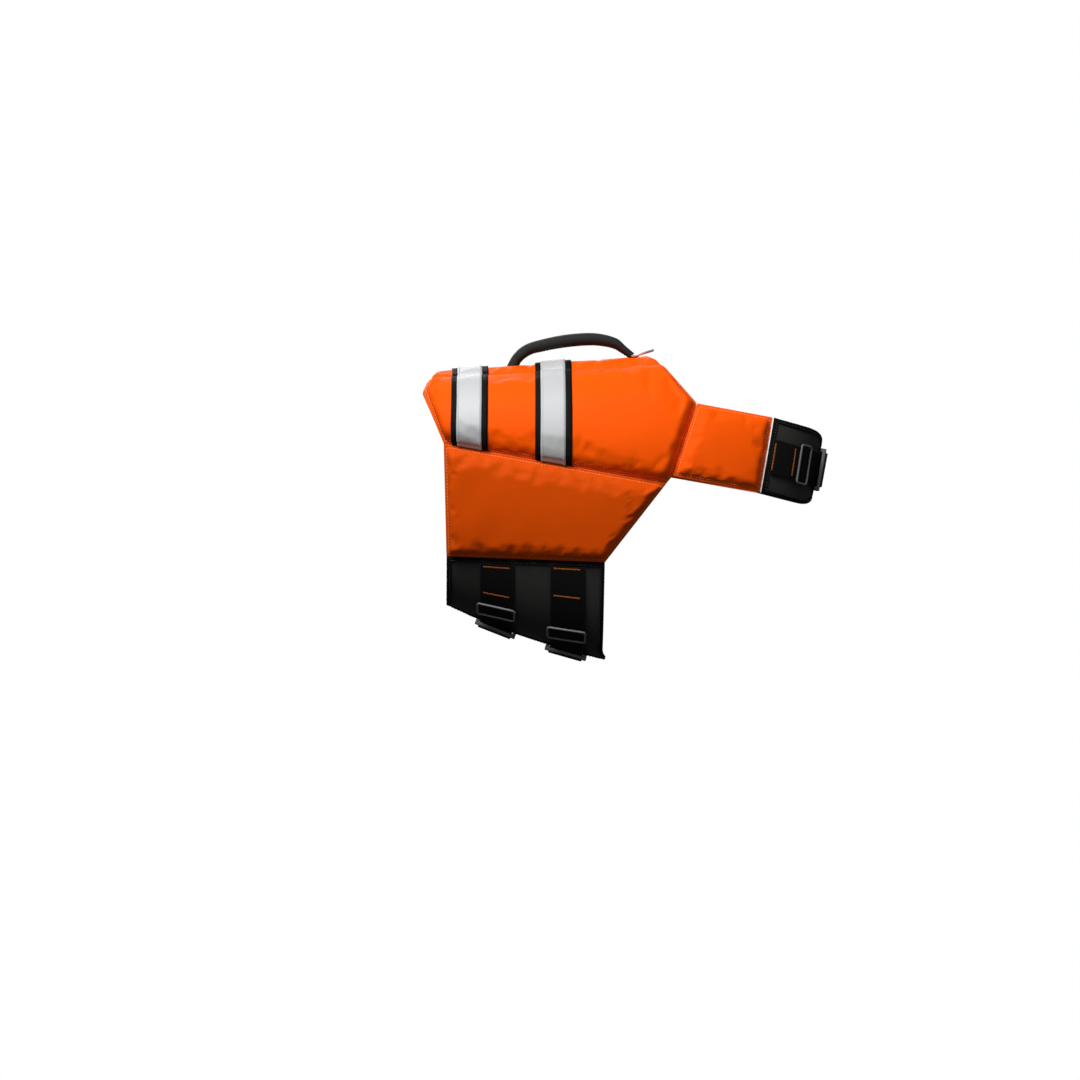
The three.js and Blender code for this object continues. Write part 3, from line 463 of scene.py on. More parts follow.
def dress(made, finish, slot, *nodes, body="jacket"):
    """Gives a piece its material, stands it for its solids and lets it ride on its body. The slot is not
    used.
    """
    made.data.materials.append(finish)
    if nodes:
        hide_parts(*nodes)
    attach(made, body)
    return made


SETTLING = {
    "mass": 0.25, "stiff": 12, "bend": 0.6, "oversize": 0.018, "pressure": 4,
    "pinned_past": 0.8, "quality": 6, "steps": 20, "cap": 1.6,
}


def cushion_push(grid, height):
    """Settles the panel's face as cloth: pinned along the topstitching, cut a little larger than its foam
    and blown out softly, so that it finds its own wrinkles. Returns the push along the normals."""
    rows, columns = (np.unique(np.linspace(0, n - 1, n // 2).astype(int)) for n in height.shape)
    pick = np.ix_(rows, columns)
    outer = (grid["inner"] + grid["normal"] * height[..., None])[pick]
    sheet = mesh_object("settling_cloth", outer.reshape(-1, 3), grid_faces(outer)[1].tolist())
    nearest = nearest_edge(grid)[pick].ravel()
    pinned = sheet.vertex_groups.new(name="stitched")
    stitched = np.flatnonzero(nearest < TOPSTITCH_INSET + SETTLING["pinned_past"])
    pinned.add([int(k) for k in stitched], 1.0, "ADD")
    cloth = sheet.modifiers.new("cloth", "CLOTH")
    cloth.settings.quality = SETTLING["quality"]
    cloth.settings.mass = SETTLING["mass"]
    cloth.settings.tension_stiffness = cloth.settings.compression_stiffness = SETTLING["stiff"]
    cloth.settings.bending_stiffness = SETTLING["bend"]
    cloth.settings.vertex_group_mass = "stitched"
    cloth.settings.shrink_min = -SETTLING["oversize"]
    cloth.settings.use_pressure = True
    cloth.settings.uniform_pressure_force = SETTLING["pressure"]
    cloth.settings.effector_weights.gravity = 0
    cloth.point_cache.frame_start, cloth.point_cache.frame_end = 1, SETTLING["steps"]
    for step in range(SETTLING["steps"]):
        bpy.context.scene.frame_set(step + 1)
    settled = sheet.evaluated_get(bpy.context.evaluated_depsgraph_get()).to_mesh()
    after = np.zeros(outer.size)
    settled.vertices.foreach_get("co", after)
    moved = after.reshape(outer.shape) / MM - outer
    bpy.data.objects.remove(sheet)
    push = np.clip((moved * grid["normal"][pick]).sum(-1), -SETTLING["cap"], SETTLING["cap"])
    across = np.array([np.interp(np.arange(height.shape[1]), columns, row) for row in push])
    return np.array([np.interp(np.arange(height.shape[0]), rows, line) for line in across.T]).T


STITCH = {"row": {"long": 2.6, "thick": 0.75}, "bar tack": {"long": 2.3, "thick": 0.6}}
STITCH_RISE = 0.3
STITCH_SIDES = 5
STITCH_PITCH = 3.5
STITCH_ARCH = [
    {"along": -0.5, "high": -0.9, "round": 0}, {"along": -0.34, "high": 0.2, "round": 0.9},
    {"along": 0, "high": 0.55, "round": 1}, {"along": 0.34, "high": 0.2, "round": 0.9},
    {"along": 0.5, "high": -0.9, "round": 0},
]


def stitch_rows(name, places, alongs, outs, long, thick):
    """Many stitches in one mesh. Each is a short arched thread whose ends dive into the cloth."""
    turns = tau * np.arange(STITCH_SIDES) / STITCH_SIDES
    shape, rings = [], []
    for row in STITCH_ARCH:
        first = len(shape)
        reach, height = row["along"] * long, row["high"] * STITCH_RISE
        if row["round"] == 0:
            shape.append((reach, 0, height))
        else:
            radius = row["round"] * thick / 2
            shape += [(reach, radius * cos(turn), radius * sin(turn) + height) for turn in turns]
        rings.append(list(range(first, len(shape))))
    faces = []  # a triangle is held as four corners with one of them twice
    for k in range(STITCH_SIDES):
        ahead = (k + 1) % STITCH_SIDES
        faces.append((rings[0][0], rings[1][ahead], rings[1][k], rings[1][k]))
        faces.append((rings[4][0], rings[3][k], rings[3][ahead], rings[3][ahead]))
        for low, high in ((1, 2), (2, 3)):
            faces.append((rings[low][k], rings[low][ahead], rings[high][ahead], rings[high][k]))
    shape, faces = np.array(shape), np.array(faces)
    sideways = unit(np.cross(outs, alongs))
    alongs = unit(np.cross(sideways, outs))
    points = (
        places[:, None]
        + shape[None, :, :1] * alongs[:, None]
        + shape[None, :, 1:2] * sideways[:, None]
        + shape[None, :, 2:] * outs[:, None]
    )
    all_faces = (faces[None] + np.arange(len(places))[:, None, None] * len(shape)).reshape(-1, 4)
    corners = [tuple(dict.fromkeys(face)) for face in all_faces.tolist()]
    places_on_thread = np.broadcast_to(shape[None], points.shape)
    return mesh_object(name, points.reshape(-1, 3), corners, places_on_thread.reshape(-1, 3))


def evenly_along(points, normals, pitch):
    """Places at an even pitch along a line, with their directions and normals."""
    run = distance_along(points)
    at = np.arange(pitch / 2, run[-1] - pitch / 2, pitch)

    def reading(values, runs):
        return np.stack([np.interp(runs, run, values[:, k]) for k in range(3)], -1)

    place = reading(points, at)
    return place, unit(reading(points, at + 0.5) - place + 1e-6), unit(reading(normals, at))


def inset_line(grid, edge, inset):
    """The outer points and normals of a panel along one of its edges, that far in from it."""
    ends = [other for other in EDGES if EDGES[other] != EDGES[edge]]
    turn = (0, 1) if EDGES[edge] == "a" else (1, 0)
    away, *to_ends = (grid["away"][name].transpose(turn) for name in (edge, *ends))
    outer, face = (grid[name].transpose(*turn, 2) for name in ("outer", "face"))
    points, normals = [], []
    for k, distance in enumerate(away):
        order = np.argsort(distance)

        def reading(values):
            return np.interp(inset, distance[order], values[order])

        if min(reading(to_end[k]) for to_end in to_ends) >= inset - 0.2:
            points.append([reading(outer[k, :, c]) for c in range(3)])
            normals.append([reading(face[k, :, c]) for c in range(3)])
    return np.array(points), np.array(normals)


def face_normals(outer):
    return unit(np.cross(np.gradient(outer, axis=0), np.gradient(outer, axis=1)))


threads = {"orange": [], "black": [], "grey": [], "bar tack": []}


def sew(kind, points, normals, hand=1):
    """Keeps a row of stitches of one thread for later."""
    place, along, out = evenly_along(points * (1, hand, 1), normals * (1, hand, 1), STITCH_PITCH)
    threads[kind].append((place, along, out))


def foam_panel(name, grid, pad, seed, hand=1, finish=orange_cloth):
    """One panel in its cloth, topstitched round all its edges. Returns its grid with the outer face."""
    height = pad_height(grid, pad, seed)
    height = height + cushion_push(grid, height)
    grid = {**grid, "outer": grid["inner"] + grid["normal"] * height[..., None]}
    grid["face"] = face_normals(grid["outer"])
    piece = shell(name + "_cloth", grid["inner"], grid["outer"], cloth_of(grid), hand)
    dress(piece, finish, "orange_cloth", name)
    for edge in EDGES:
        sew("orange", *inset_line(grid, edge, TOPSTITCH_INSET), hand)
    return grid


spine = form_grid(
    PADS["spine"]["span"],
    top=lambda x: -SPINE_HALF + 0 * x,
    bottom=lambda x: SPINE_HALF + 0 * x,
    rear=lambda z, part: bowed(SPINE_REAR, part),
    front=lambda z, part: bowed(SPINE_FRONT, part),
)
spine = foam_panel("spine_panel", spine, PADS["spine"], 11)
back = form_grid(
    PADS["back"]["span"],
    top=lambda x: SPINE_HALF + SEAM_GAP + 0 * x,
    bottom=lambda x: fold_at(x) - SEAM_GAP / 2,
    rear=lambda z, part: edge_at(BACK_REAR, z),
    front=lambda z, part: edge_at(BACK_FRONT, z) - SEAM_GAP,
)
flank = form_grid(
    PADS["side"]["span"],
    top=lambda x: fold_at(x) + SEAM_GAP / 2,
    bottom=lambda x: hem_at(x) - SEAM_GAP / 2,
    rear=lambda z, part: edge_at(SIDE_REAR, z),
    front=lambda z, part: edge_at(SIDE_FRONT, z),
)
backs = {}
for side, hand in SIDES.items():
    backs[side] = foam_panel(f"back_panel_{side}", back, PADS["back"], 30 + hand, hand)
    # the side panels take the same orange cloth painted darker: painted shade
    foam_panel(f"side_panel_{side}", flank, PADS["side"], 50 + hand, hand, shaded_orange_cloth)

# CHEST BAND
# The same foam panel, narrower, sewn to the shoulder and carried round to the front of the chest. A white
# piping cord in its own strip of cloth closes it where the black flap begins.
BAND = {
    "x": 154.4, "z": -73.1, "tilt": 10.2, "reach": 146, "half_wide": 41.3, "seam_lean": 6.5,
    "forward_power": 2.2, "side_power": 2.4, "flap_from": 90, "flap_droop": 0.08,
}
PIPING = {"wide": 1.6, "thick": 5.2}
WHITE = (0.86, 0.88, 0.88)
band_middle = np.array((BAND["x"], 0, BAND["z"]))
band_forward = np.array((cos(radians(BAND["tilt"])), 0, -sin(radians(BAND["tilt"]))))
band_up = np.array((sin(radians(BAND["tilt"])), 0, cos(radians(BAND["tilt"]))))


def band_point(forward, across, y):
    forward = np.asarray(forward, float)
    droop = BAND["flap_droop"] * np.maximum(0, forward - BAND["flap_from"])
    point = band_middle + forward[..., None] * band_forward + (across - droop)[..., None] * band_up
    point[..., 1] = y
    return point


def breadth(forward, across):
    p = band_point(forward, across, 0)
    s = form_section(p[0])
    return float(np.interp(-p[2], -s["z"], s["y"]))


def band_level(across):
    """One level of the band, from the front of the chest back to the shoulder seam."""
    angle = np.linspace(pi / 2, 0, 181)
    share = np.sin(angle) ** (2 / BAND["forward_power"])
    side = np.maximum(np.cos(angle), 0) ** (2 / BAND["side_power"])
    start = BAND["seam_lean"] * across / BAND["half_wide"]
    half = breadth(start, across)
    slope = (half - breadth(start - 2, across)) / 2
    forward = start + (BAND["reach"] - start) * share
    y = half * side + slope * (forward - start) * (1 - share) ** 2
    points = band_point(forward, across, y)
    arcs = distance_along(points)
    return {"points": points, "arcs": arcs, "piping": np.interp(-BAND["flap_from"], -forward, arcs)}


BAND_ACROSS = np.arange(-60, 61, 2.0)
BAND_ARC = np.arange(-60, 280, 1.0)
band_levels = [band_level(a) for a in BAND_ACROSS]
band_points = np.zeros((len(BAND_ARC), len(BAND_ACROSS), 3))
for j, level in enumerate(band_levels):
    for k in range(3):
        hand = np.where(BAND_ARC < 0, -1, 1) if k == 1 else 1
        band_points[:, j, k] = hand * np.interp(np.abs(BAND_ARC), level["arcs"], level["points"][:, k])
band_normals = unit(np.cross(np.gradient(band_points, axis=0), np.gradient(band_points, axis=1)))
on_band = sampler(band_points, BAND_ARC, BAND_ACROSS)
band_normal = sampler(band_normals, BAND_ARC, BAND_ACROSS)


def band_total(across):
    return np.interp(across, BAND_ACROSS, [level["arcs"][-1] for level in band_levels])


def piping_arc(across):
    return np.interp(across, BAND_ACROSS, [level["piping"] for level in band_levels])


def band_grid(span, start, end, top, bottom):
    """Places on the band. The first axis runs forward, and the second down."""
    u, v = map(stations, span)
    arc = np.zeros((u.size, v.size))
    for _ in range(6):
        across = top(arc) + (bottom(arc) - top(arc)) * v[None, :]
        arc = start(across) + (end(across) - start(across)) * u[:, None]
    across = top(arc) + (bottom(arc) - top(arc)) * v[None, :]
    away = {
        "rear": start(across) - arc, "front": arc - end(across),
        "top": top(arc) - across, "bottom": across - bottom(arc),
    }
    inner, normal = on_band(arc, across), band_normal(arc, across)
    return {"a": -arc, "b": -across, "away": away, "inner": inner, "normal": normal}


chest = band_grid(
    PADS["chest"]["span"],
    start=lambda across: band_total(across) - SEAM_GAP,
    end=lambda across: piping_arc(across) + SEAM_GAP,
    top=lambda arc: BAND["half_wide"] + 0 * arc,
    bottom=lambda arc: -BAND["half_wide"] + 0 * arc,
)
piping_cloth = woven_cloth(
    "white piping cloth", WHITE, WHITE,
    pitch=0.5, uneven=0.08, wear=0.0, roughness=0.5, bump=0.06, gloss=0.3,
)
# at this distance from the edge the cloth shows neither wear nor painted highlight
CLEAR_OF_WEAR_HIGHLIGHT = 9.0  # a distance from the cloth's edge at which nothing rubs


def loft(name, rings, looped, hand=1):
    """A closed skin through rings of points, joined into a loop or closed at both ends."""
    rings = np.asarray(rings, float)
    n, m = rings.shape[:2]
    index = np.arange(n * m).reshape(n, m)
    near = index if looped else index[:-1]
    far = np.roll(index, -1, axis=0) if looped else index[1:]
    quads = np.stack([near, np.roll(near, -1, 1), np.roll(far, -1, 1), far], -1).reshape(-1, 4).tolist()
    if not looped:
        quads += [index[0, ::-1].tolist(), index[-1].tolist()]
    if hand < 0:
        quads = [face[::-1] for face in quads]
    run, around = distance_along(rings.mean(axis=1)), distance_along(rings[0])
    cloth = np.stack(np.broadcast_arrays(run[:, None], around[None, :], CLEAR_OF_WEAR_HIGHLIGHT), -1)
    return mesh_object(name, rings.reshape(-1, 3) * (1, hand, 1), quads, cloth.reshape(-1, 3))


for side, hand in SIDES.items():
    foam_panel(f"chest_band_{side}", chest, PADS["chest"], 70 + hand, hand)
    across = np.linspace(-BAND["half_wide"], BAND["half_wide"], 60)
    arc = piping_arc(across) - PIPING["wide"] / 2
    normal = band_normal(arc, across)
    foot = on_band(arc, across)
    forward = unit(np.cross(normal, np.gradient(foot, axis=0)))
    bead = []
    for k in range(12):
        turn = tau * k / 12
        rise = PIPING["thick"] / 2 * (1 + sin(turn))
        bead.append(foot + forward * PIPING["wide"] / 2 * cos(turn) + normal * rise)
    piece = loft(f"chest_piping_{side}_bead", np.stack(bead, 1), False, hand)
    dress(piece, piping_cloth, "white_piping", f"chest_piping_{side}")

# REFLECTIVE STRIPES
# Silver retroreflective tape on a wider black webbing, laid across the back in one length from widest
# line to widest line. The webbing is caught in both seams, and each edge of the tape is stitched down.
STRIPES = {
    "rear": {"webbing": (-99.1, -59.4), "tape": (-93, -66)},
    "front": {"webbing": (-7.9, 31.7), "tape": (-1.9, 25)},
}
STRIPE_STEPS = 14
LAY_GAP = 0.5
BLACK = (0.004, 0.004, 0.0041)
# the webbing's edge colour: worn paler, with a painted highlight
WORN_HIGHLIGHT_BLACK = (0.035, 0.035, 0.035)
SILVER = (0.49, 0.495, 0.5)


def webbing_weave():
    """Webbing: ribs along the strap, each crossed by its weft in a herringbone."""
    n, given, put = weave_group("webbing weave")
    split = n.add("ShaderNodeSeparateXYZ", {0: given["Vector"]})
    along = n.math("DIVIDE", split.outputs[0], given["Pitch"])
    across = n.math("DIVIDE", split.outputs[1], given["Pitch"])
    zigzag = n.math("PINGPONG", across, 2.0)
    slant = n.math("SINE", n.math("MULTIPLY", n.math("ADD", along, zigzag), pi))
    rib = n.math("ABSOLUTE", n.math("SINE", n.math("MULTIPLY", across, pi / 2)))
    n.put(put["Height"], n.math("MULTIPLY_ADD", slant, 0.3, rib))
    n.put(put["Gap"], n.math("SUBTRACT", 1.0, rib))
    return n.tree


WEBBING_WEAVE = webbing_weave()
black_webbing = woven_cloth(
    "black webbing", BLACK, WORN_HIGHLIGHT_BLACK,
    pitch=1.3, uneven=0.3, wear=0.4, roughness=0.68, bump=0.2, gloss=0.12, weave_tree=WEBBING_WEAVE,
)


def silver_tape_finish():
    made, nodes, shader = material("silver reflective tape")
    cloth = nodes.cloth()
    beads = nodes.add("ShaderNodeTexVoronoi", {"Vector": cloth, "Scale": 1.6})
    weave = nodes.effect(PLAIN_WEAVE, Vector=cloth, Pitch=0.9)
    tone = nodes.effect(CLOTH_TONE, Color=SILVER, Vector=cloth, Gap=0.0, Uneven=0.08, Wear=0.0)
    nodes.put(shader["Base Color"], tone["Color"])
    nodes.put(shader["Roughness"], nodes.math("MULTIPLY_ADD", beads.outputs[0], 0.2, 0.5))
    nodes.relief(shader, nodes.math("MULTIPLY_ADD", beads.outputs[0], 0.6, weave["Height"]), 0.05)
    shader["Metallic"].default_value = 0.1
    return made


STRIPE_LAYERS = {
    "webbing": {"thick": 1.2, "low": LAY_GAP, "slot": "black_webbing", "finish": black_webbing},
    "tape": {"thick": 0.6, "low": 2.2, "slot": "silver_tape", "finish": silver_tape_finish()},
}


def column_over(grid, x, hand=1):
    """Points of a panel's face along one X, from top to bottom, with the form's normals."""
    points, normals = [], []
    for j in range(grid["a"].shape[1]):
        here = grid["a"][:, j]
        points.append([np.interp(x, here, grid["outer"][:, j, k]) for k in range(3)])
        normals.append([np.interp(x, here, grid["normal"][:, j, k]) for k in range(3)])
    return np.array(points) * (1, hand, 1), unit(np.array(normals)) * (1, hand, 1)


def bridged(points, normals):
    """A taut strip doesn't sink into a seam: short hollows along it are spanned."""
    smooth = points.copy()
    for _ in range(14):
        middle = smooth.copy()
        middle[1:-1] = (smooth[:-2] + smooth[2:]) / 2
        lift = ((middle - smooth) * normals).sum(-1)
        smooth = smooth + normals * np.maximum(lift, 0)[:, None]
    return smooth


def stripe_strip(name, kind, start, end):
    """One layer of a stripe over both back panels and the spine panel."""
    layer = STRIPE_LAYERS[kind]
    width = np.linspace(start, end, STRIPE_STEPS)
    faces, outs = [], []
    for x in width:
        left, left_out = column_over(backs["left"], x)
        right, right_out = column_over(backs["right"], x, -1)
        over, over_out = column_over(spine, x)
        normals = np.concatenate([right_out[::-1], over_out, left_out])
        faces.append(bridged(np.concatenate([right[::-1], over, left]), normals))
        outs.append(normals)
    faces, outs = np.array(faces), np.array(outs)
    low = faces + outs * layer["low"]
    high = low + outs * layer["thick"]
    along = distance_along(faces[STRIPE_STEPS // 2])
    from_edge = np.minimum(width - start, end - width) + CLEAR_OF_WEAR_HIGHLIGHT
    cloth = np.stack(np.broadcast_arrays(along[None, :], width[:, None], from_edge[:, None]), -1)
    strip = shell(f"stripe_{kind}_{name}_strip", low, high, cloth)
    dress(strip, layer["finish"], layer["slot"], f"stripe_{kind}_{name}")
    return high, outs


for name, stripe in STRIPES.items():
    stripe_strip(name, "webbing", *stripe["webbing"])
    tape, tape_out = stripe_strip(name, "tape", *stripe["tape"])
    for edge in (1, -2):
        sew("grey", tape[edge], tape_out[edge])

# BELLY FLAPS
# Two flaps of black neoprene that wrap under the belly and are held together by the straps. Their edges
# are bound with folded black tape, and the top edge is sewn to the foam panel.
FLAP_THICK = 3
BINDING = {"wide": 5, "thick": 4.5}
FLAP_TUCK = 0.6  # how far a flap reaches in between the two layers of its binding
BELLY_SPLIT = 5
BELLY = {"rear": -104.8, "front_at_hem": 67.6, "front_at_middle": 65, "lip": 4, "lip_from": 0.75}
BELLY_SPAN = (172, 150)
RIPPLE = {"wave": 70, "stretch": 0.5, "run": 25, "high": 0.25}
BINDING_STITCH = {"across": 0.8, "rise": 0.96}
BINDING_WAVE = {"wave": 16, "high": 0.05, "step": 2.0}
NEOPRENE = (0.024, 0.024, 0.0225)


def neoprene_finish(name, color):
    made, nodes, shader = material(name)
    cloth = nodes.cloth()
    jersey = nodes.effect(PLAIN_WEAVE, Vector=cloth, Pitch=0.55)
    tone = nodes.effect(CLOTH_TONE, Color=color, Vector=cloth, Gap=jersey["Gap"], Uneven=0.35, Wear=0.0)
    nodes.put(shader["Base Color"], tone["Color"])
    pores = nodes.add("ShaderNodeTexNoise", {"Vector": cloth, "Scale": 0.9, "Detail": 5})
    nodes.relief(shader, nodes.math("MULTIPLY_ADD", jersey["Height"], 0.35, pores.outputs[0]), 0.12)
    nodes.put(shader["Roughness"], nodes.math("MULTIPLY_ADD", pores.outputs[0], 0.2, 0.68))
    shader["Specular IOR Level"].default_value = 0.3
    return made


black_neoprene = neoprene_finish("black neoprene", NEOPRENE)
binding_tape = woven_cloth(
    "black binding tape", BLACK, WORN_HIGHLIGHT_BLACK,
    pitch=0.9, uneven=0.3, wear=0.1, roughness=0.7, bump=0.12, gloss=0.1,
)


def belly_front(z, part):
    lip = BELLY["lip"] * smooth_step((part - BELLY["lip_from"]) / (1 - BELLY["lip_from"]))
    return BELLY["front_at_hem"] + (BELLY["front_at_middle"] - BELLY["front_at_hem"]) * part + lip


BINDING_SECTION = [
    {"across": 0.0, "rise": 0.14}, {"across": 0.0, "rise": 0.7}, {"across": 0.06, "rise": 0.9},
    {"across": 0.2, "rise": 1.0}, {"across": 0.6, "rise": 0.97}, {"across": 0.94, "rise": 0.92},
    {"across": 1.0, "rise": 0.8}, {"across": 1.0, "rise": 0.04}, {"across": 0.5, "rise": 0.0},
    {"across": 0.12, "rise": 0.02},
]


def bound_edge(node, edge, inside, normals, hand, seed):
    """Binding tape folded over a flap's edge, between the edge and the line where it is stitched."""
    places = np.arange(len(edge)) * BINDING_WAVE["step"]
    wave = 1 + BINDING_WAVE["high"] * unevenness(places, 0, BINDING_WAVE["wave"], seed)
    rings = []
    for row in BINDING_SECTION:
        place = edge + (inside - edge) * row["across"]
        rings.append(place + normals * (BINDING["thick"] * row["rise"] * wave)[:, None])
    piece = loft(f"{node}_tape", np.stack(rings, 1)[:, ::-1], True, hand)
    dress(piece, binding_tape, "black_binding", node)
    line = edge + (inside - edge) * BINDING_STITCH["across"]
    line = line + normals * (BINDING["thick"] * BINDING_STITCH["rise"])
    sew("black", np.concatenate([line, line[:1]]), np.concatenate([normals, normals[:1]]), hand)
    return piece


def flap_height(grid, seed):
    """Neoprene is thick and springy: it lies in a few broad soft ripples."""
    slow = unevenness(grid["a"], grid["b"] * RIPPLE["stretch"], RIPPLE["wave"], seed)
    slow = slow * smooth_step(nearest_edge(grid) / RIPPLE["run"])
    return FLAP_THICK + RIPPLE["high"] * (slow - 1)


belly_edges = {
    "top": lambda x: hem_at(x) + SEAM_GAP / 2,
    "bottom": lambda x: belly_middle_at(x) - BELLY_SPLIT / 2,
    "rear": lambda z, part: BELLY["rear"] + 0 * z,
    "front": belly_front,
}


def inset_edges(edges, inset):
    """The same cut, that far inside its edges."""
    return {
        "top": lambda x: edges["top"](x) + inset,
        "bottom": lambda x: edges["bottom"](x) - inset,
        "rear": lambda z, part: edges["rear"](z, part) + inset,
        "front": lambda z, part: edges["front"](z, part) - inset,
    }


def bound_flap(name, cut, seed):
    """Both flaps of a closure with their binding. The cut gives a grid that far in from the flap's edges."""
    whole, bound, inside = (cut(inset) for inset in (0, BINDING["wide"], BINDING["wide"] - FLAP_TUCK))
    for side, hand in SIDES.items():
        height = flap_height(inside, seed + hand)
        outer = inside["inner"] + inside["normal"] * height[..., None]
        flap = shell(f"{name}_flap_{side}_sheet", inside["inner"], outer, cloth_of(inside), hand)
        dress(flap, black_neoprene, "black_neoprene", f"{name}_flap_{side}")
        loops = [grid_loop(values) for values in (whole["inner"], bound["inner"], bound["normal"])]
        binding = bound_edge(f"{name}_binding_{side}", *loops, hand, seed)


def belly_flap_grid(inset):
    return form_grid(BELLY_SPAN, **inset_edges(belly_edges, inset))


bound_flap("belly", belly_flap_grid, 90)

# CHEST FLAPS
# The same neoprene, bound with the same tape. Each is sewn in at the piping, has long round corners and
# reaches almost to the middle of the chest.
CHEST_SPLIT = 6
CHEST_CORNER = {"along": 44, "across": 17}
CHEST_SPAN = (110, 82)


def chest_flap_grid(inset):
    end = CHEST_SPLIT / 2 + inset

    def level(arc):
        """How far the flap reaches up and down: straight, then a long round corner."""
        left = 1 - np.clip((arc - end) / (CHEST_CORNER["along"] - inset), 0, 1)
        corner = (CHEST_CORNER["across"] - inset) * (1 - np.sqrt(1 - left**2))
        return BAND["half_wide"] - inset - corner

    return band_grid(
        CHEST_SPAN,
        start=lambda across: piping_arc(across) - PIPING["wide"] - SEAM_GAP - inset,
        end=lambda across: end + 0 * across,
        top=level,
        bottom=lambda arc: -level(arc),
    )


bound_flap("chest", chest_flap_grid, 110)

# STRAPS
# Six lengths of black polyester webbing, two to each closure. Each is sewn to its flap with two orange
# bar tacks, passes in a hump over its slider's middle bar, and turns out through the buckle's slot.
WEB = {"wide": 38, "thick": 2}
STRAP_START = 6
HUMP = {"top": 2, "foot": 5.8, "lift": 2.3}
BELLY_STRAPS = [
    {"name": "rear", "x": -49.7, "slider_rise": 16.5, "tacks": (-210.4, -239.6)},
    {"name": "front", "x": 26.9, "slider_rise": 17.5, "tacks": (-212.5, -242.4)},
]
CHEST_SLIDER_SETBACK = 16.8
CHEST_TACKS = (97.6, 119.4)
# the webbing's middle line in a buckle, as its distance from the buckle's middle and from the flap
SLOT_TURN = [
    {"along": 29.0, "out": 1.7}, {"along": 26.4, "out": 1.75}, {"along": 25.2, "out": 2.1},
    {"along": 24.5, "out": 2.9}, {"along": 24.2, "out": 4.0}, {"along": 24.2, "out": 6.3},
    {"along": 24.45, "out": 7.4}, {"along": 25.2, "out": 8.1}, {"along": 26.4, "out": 8.4},
    {"along": 28.4, "out": 8.35}, {"along": 30.2, "out": 8.0},
]
WEB_EDGE_STEPS = (0, 0.12, 0.4, 0.9)
WEB_FLAT_HALF = 16.5
TACK = {"half_long": 14.5, "pitch": 0.62, "slant": 0.25}


def frame_at(point, normal, along):
    """Axes at a place on a flap: across the strap, along it and out, as the columns of a matrix."""
    out = unit(normal)
    across = unit(np.cross(along, out))
    return {"origin": point, "across": across, "along": np.cross(out, across), "out": out}


def in_frame(axes, across, along, out):
    parts = ((across, "across"), (along, "along"), (out, "out"))
    return axes["origin"] + sum(np.asarray(value, float)[..., None] * axes[key] for value, key in parts)


def belly_strap(row):
    """A belly strap's places, running down the girth, with its seat for a buckle."""
    x = row["x"]
    total = belly_middle_at(x) - hem_at(x)

    def girth(at, run):
        return hem_at(at) + (belly_middle_at(at) - hem_at(at)) * run / total

    def place(across, run):
        here = girth(x, run)
        step = on_form(x + 0.5, here) - on_form(x - 0.5, here)
        down = unit(on_form(x, here + 1) - on_form(x, here - 1))
        spread = np.linalg.norm(step - (step * down).sum(-1, keepdims=True) * down, axis=-1)
        at = x + across / spread
        return on_form(at, girth(at, run)), unit(form_normal(at, girth(at, run)))

    runs = np.arange(0, total, 0.25)
    heights = place(0 * runs, runs)[0][:, 2]

    def run_at(z):
        return float(np.interp(-z, -heights, runs))

    point, normal = place(0.0, total)
    return {
        "place": place,
        "total": total,
        "slider": run_at(float(form_at("belly", x)) + row["slider_rise"]),
        "tacks": [run_at(z) for z in row["tacks"]],
        "seat": frame_at(point + normal * FLAP_THICK, normal, (0, 1, 0)),
    }


def chest_strap():
    """The chest strap's places, running forward along the band."""

    def start(across):
        return piping_arc(across) - PIPING["wide"]

    total = float(start(0))
    middle = band_levels[len(BAND_ACROSS) // 2]
    forward = (middle["points"] - band_middle) @ band_forward

    def run_at(reach):
        return total - float(np.interp(-reach, -forward, middle["arcs"]))

    def place(across, run):
        arc = start(across) * (1 - run / total)
        return on_band(arc, across), unit(band_normal(arc, across))

    point, normal = place(0.0, total)
    return {
        "place": place,
        "total": total,
        "slider": run_at(BAND["reach"] - CHEST_SLIDER_SETBACK),
        "tacks": [run_at(reach) for reach in CHEST_TACKS],
        "seat": frame_at(point + normal * FLAP_THICK, normal, (0, 1, 0)),
    }


def strap_middle(strap, across):
    """The middle line of the webbing's thickness at one place across its width."""
    base = FLAP_THICK + LAY_GAP + WEB["thick"] / 2
    turn = np.array([(row["along"], row["out"]) for row in SLOT_TURN])
    slot = in_frame(strap["seat"], np.full(len(turn), -across), turn[:, 0], turn[:, 1])
    runs = np.arange(strap["slider"], strap["total"] - 29, 0.5)
    point, normal = strap["place"](np.full(len(runs), across), runs)
    way = slot[1] - (point + normal * base)
    rise = way @ strap["seat"]["out"]
    leave = runs[np.argmin(rise / np.linalg.norm(way - rise[:, None] * strap["seat"]["out"], axis=1))]
    runs = np.linspace(STRAP_START, leave, 90)
    point, normal = strap["place"](np.full(len(runs), across), runs)
    hump = smooth_step((HUMP["foot"] - np.abs(runs - strap["slider"])) / (HUMP["foot"] - HUMP["top"]))
    on_flap = point + normal * (base + HUMP["lift"] * hump)[:, None]
    taut = on_flap[-1] + (slot[1] - on_flap[-1]) * np.linspace(0, 1, 16)[1:-1, None]
    line = np.concatenate([on_flap, taut, slot[1:]])
    for _ in range(2):
        line[1:-1] = line[1:-1] / 2 + (line[:-2] + line[2:]) / 4
    return line


def strap_node(name, part):
    """A strap's name with one of its parts in it, such as belly_webbing_rear."""
    flap, *place = name.split("_")
    return "_".join([flap, part, *place])


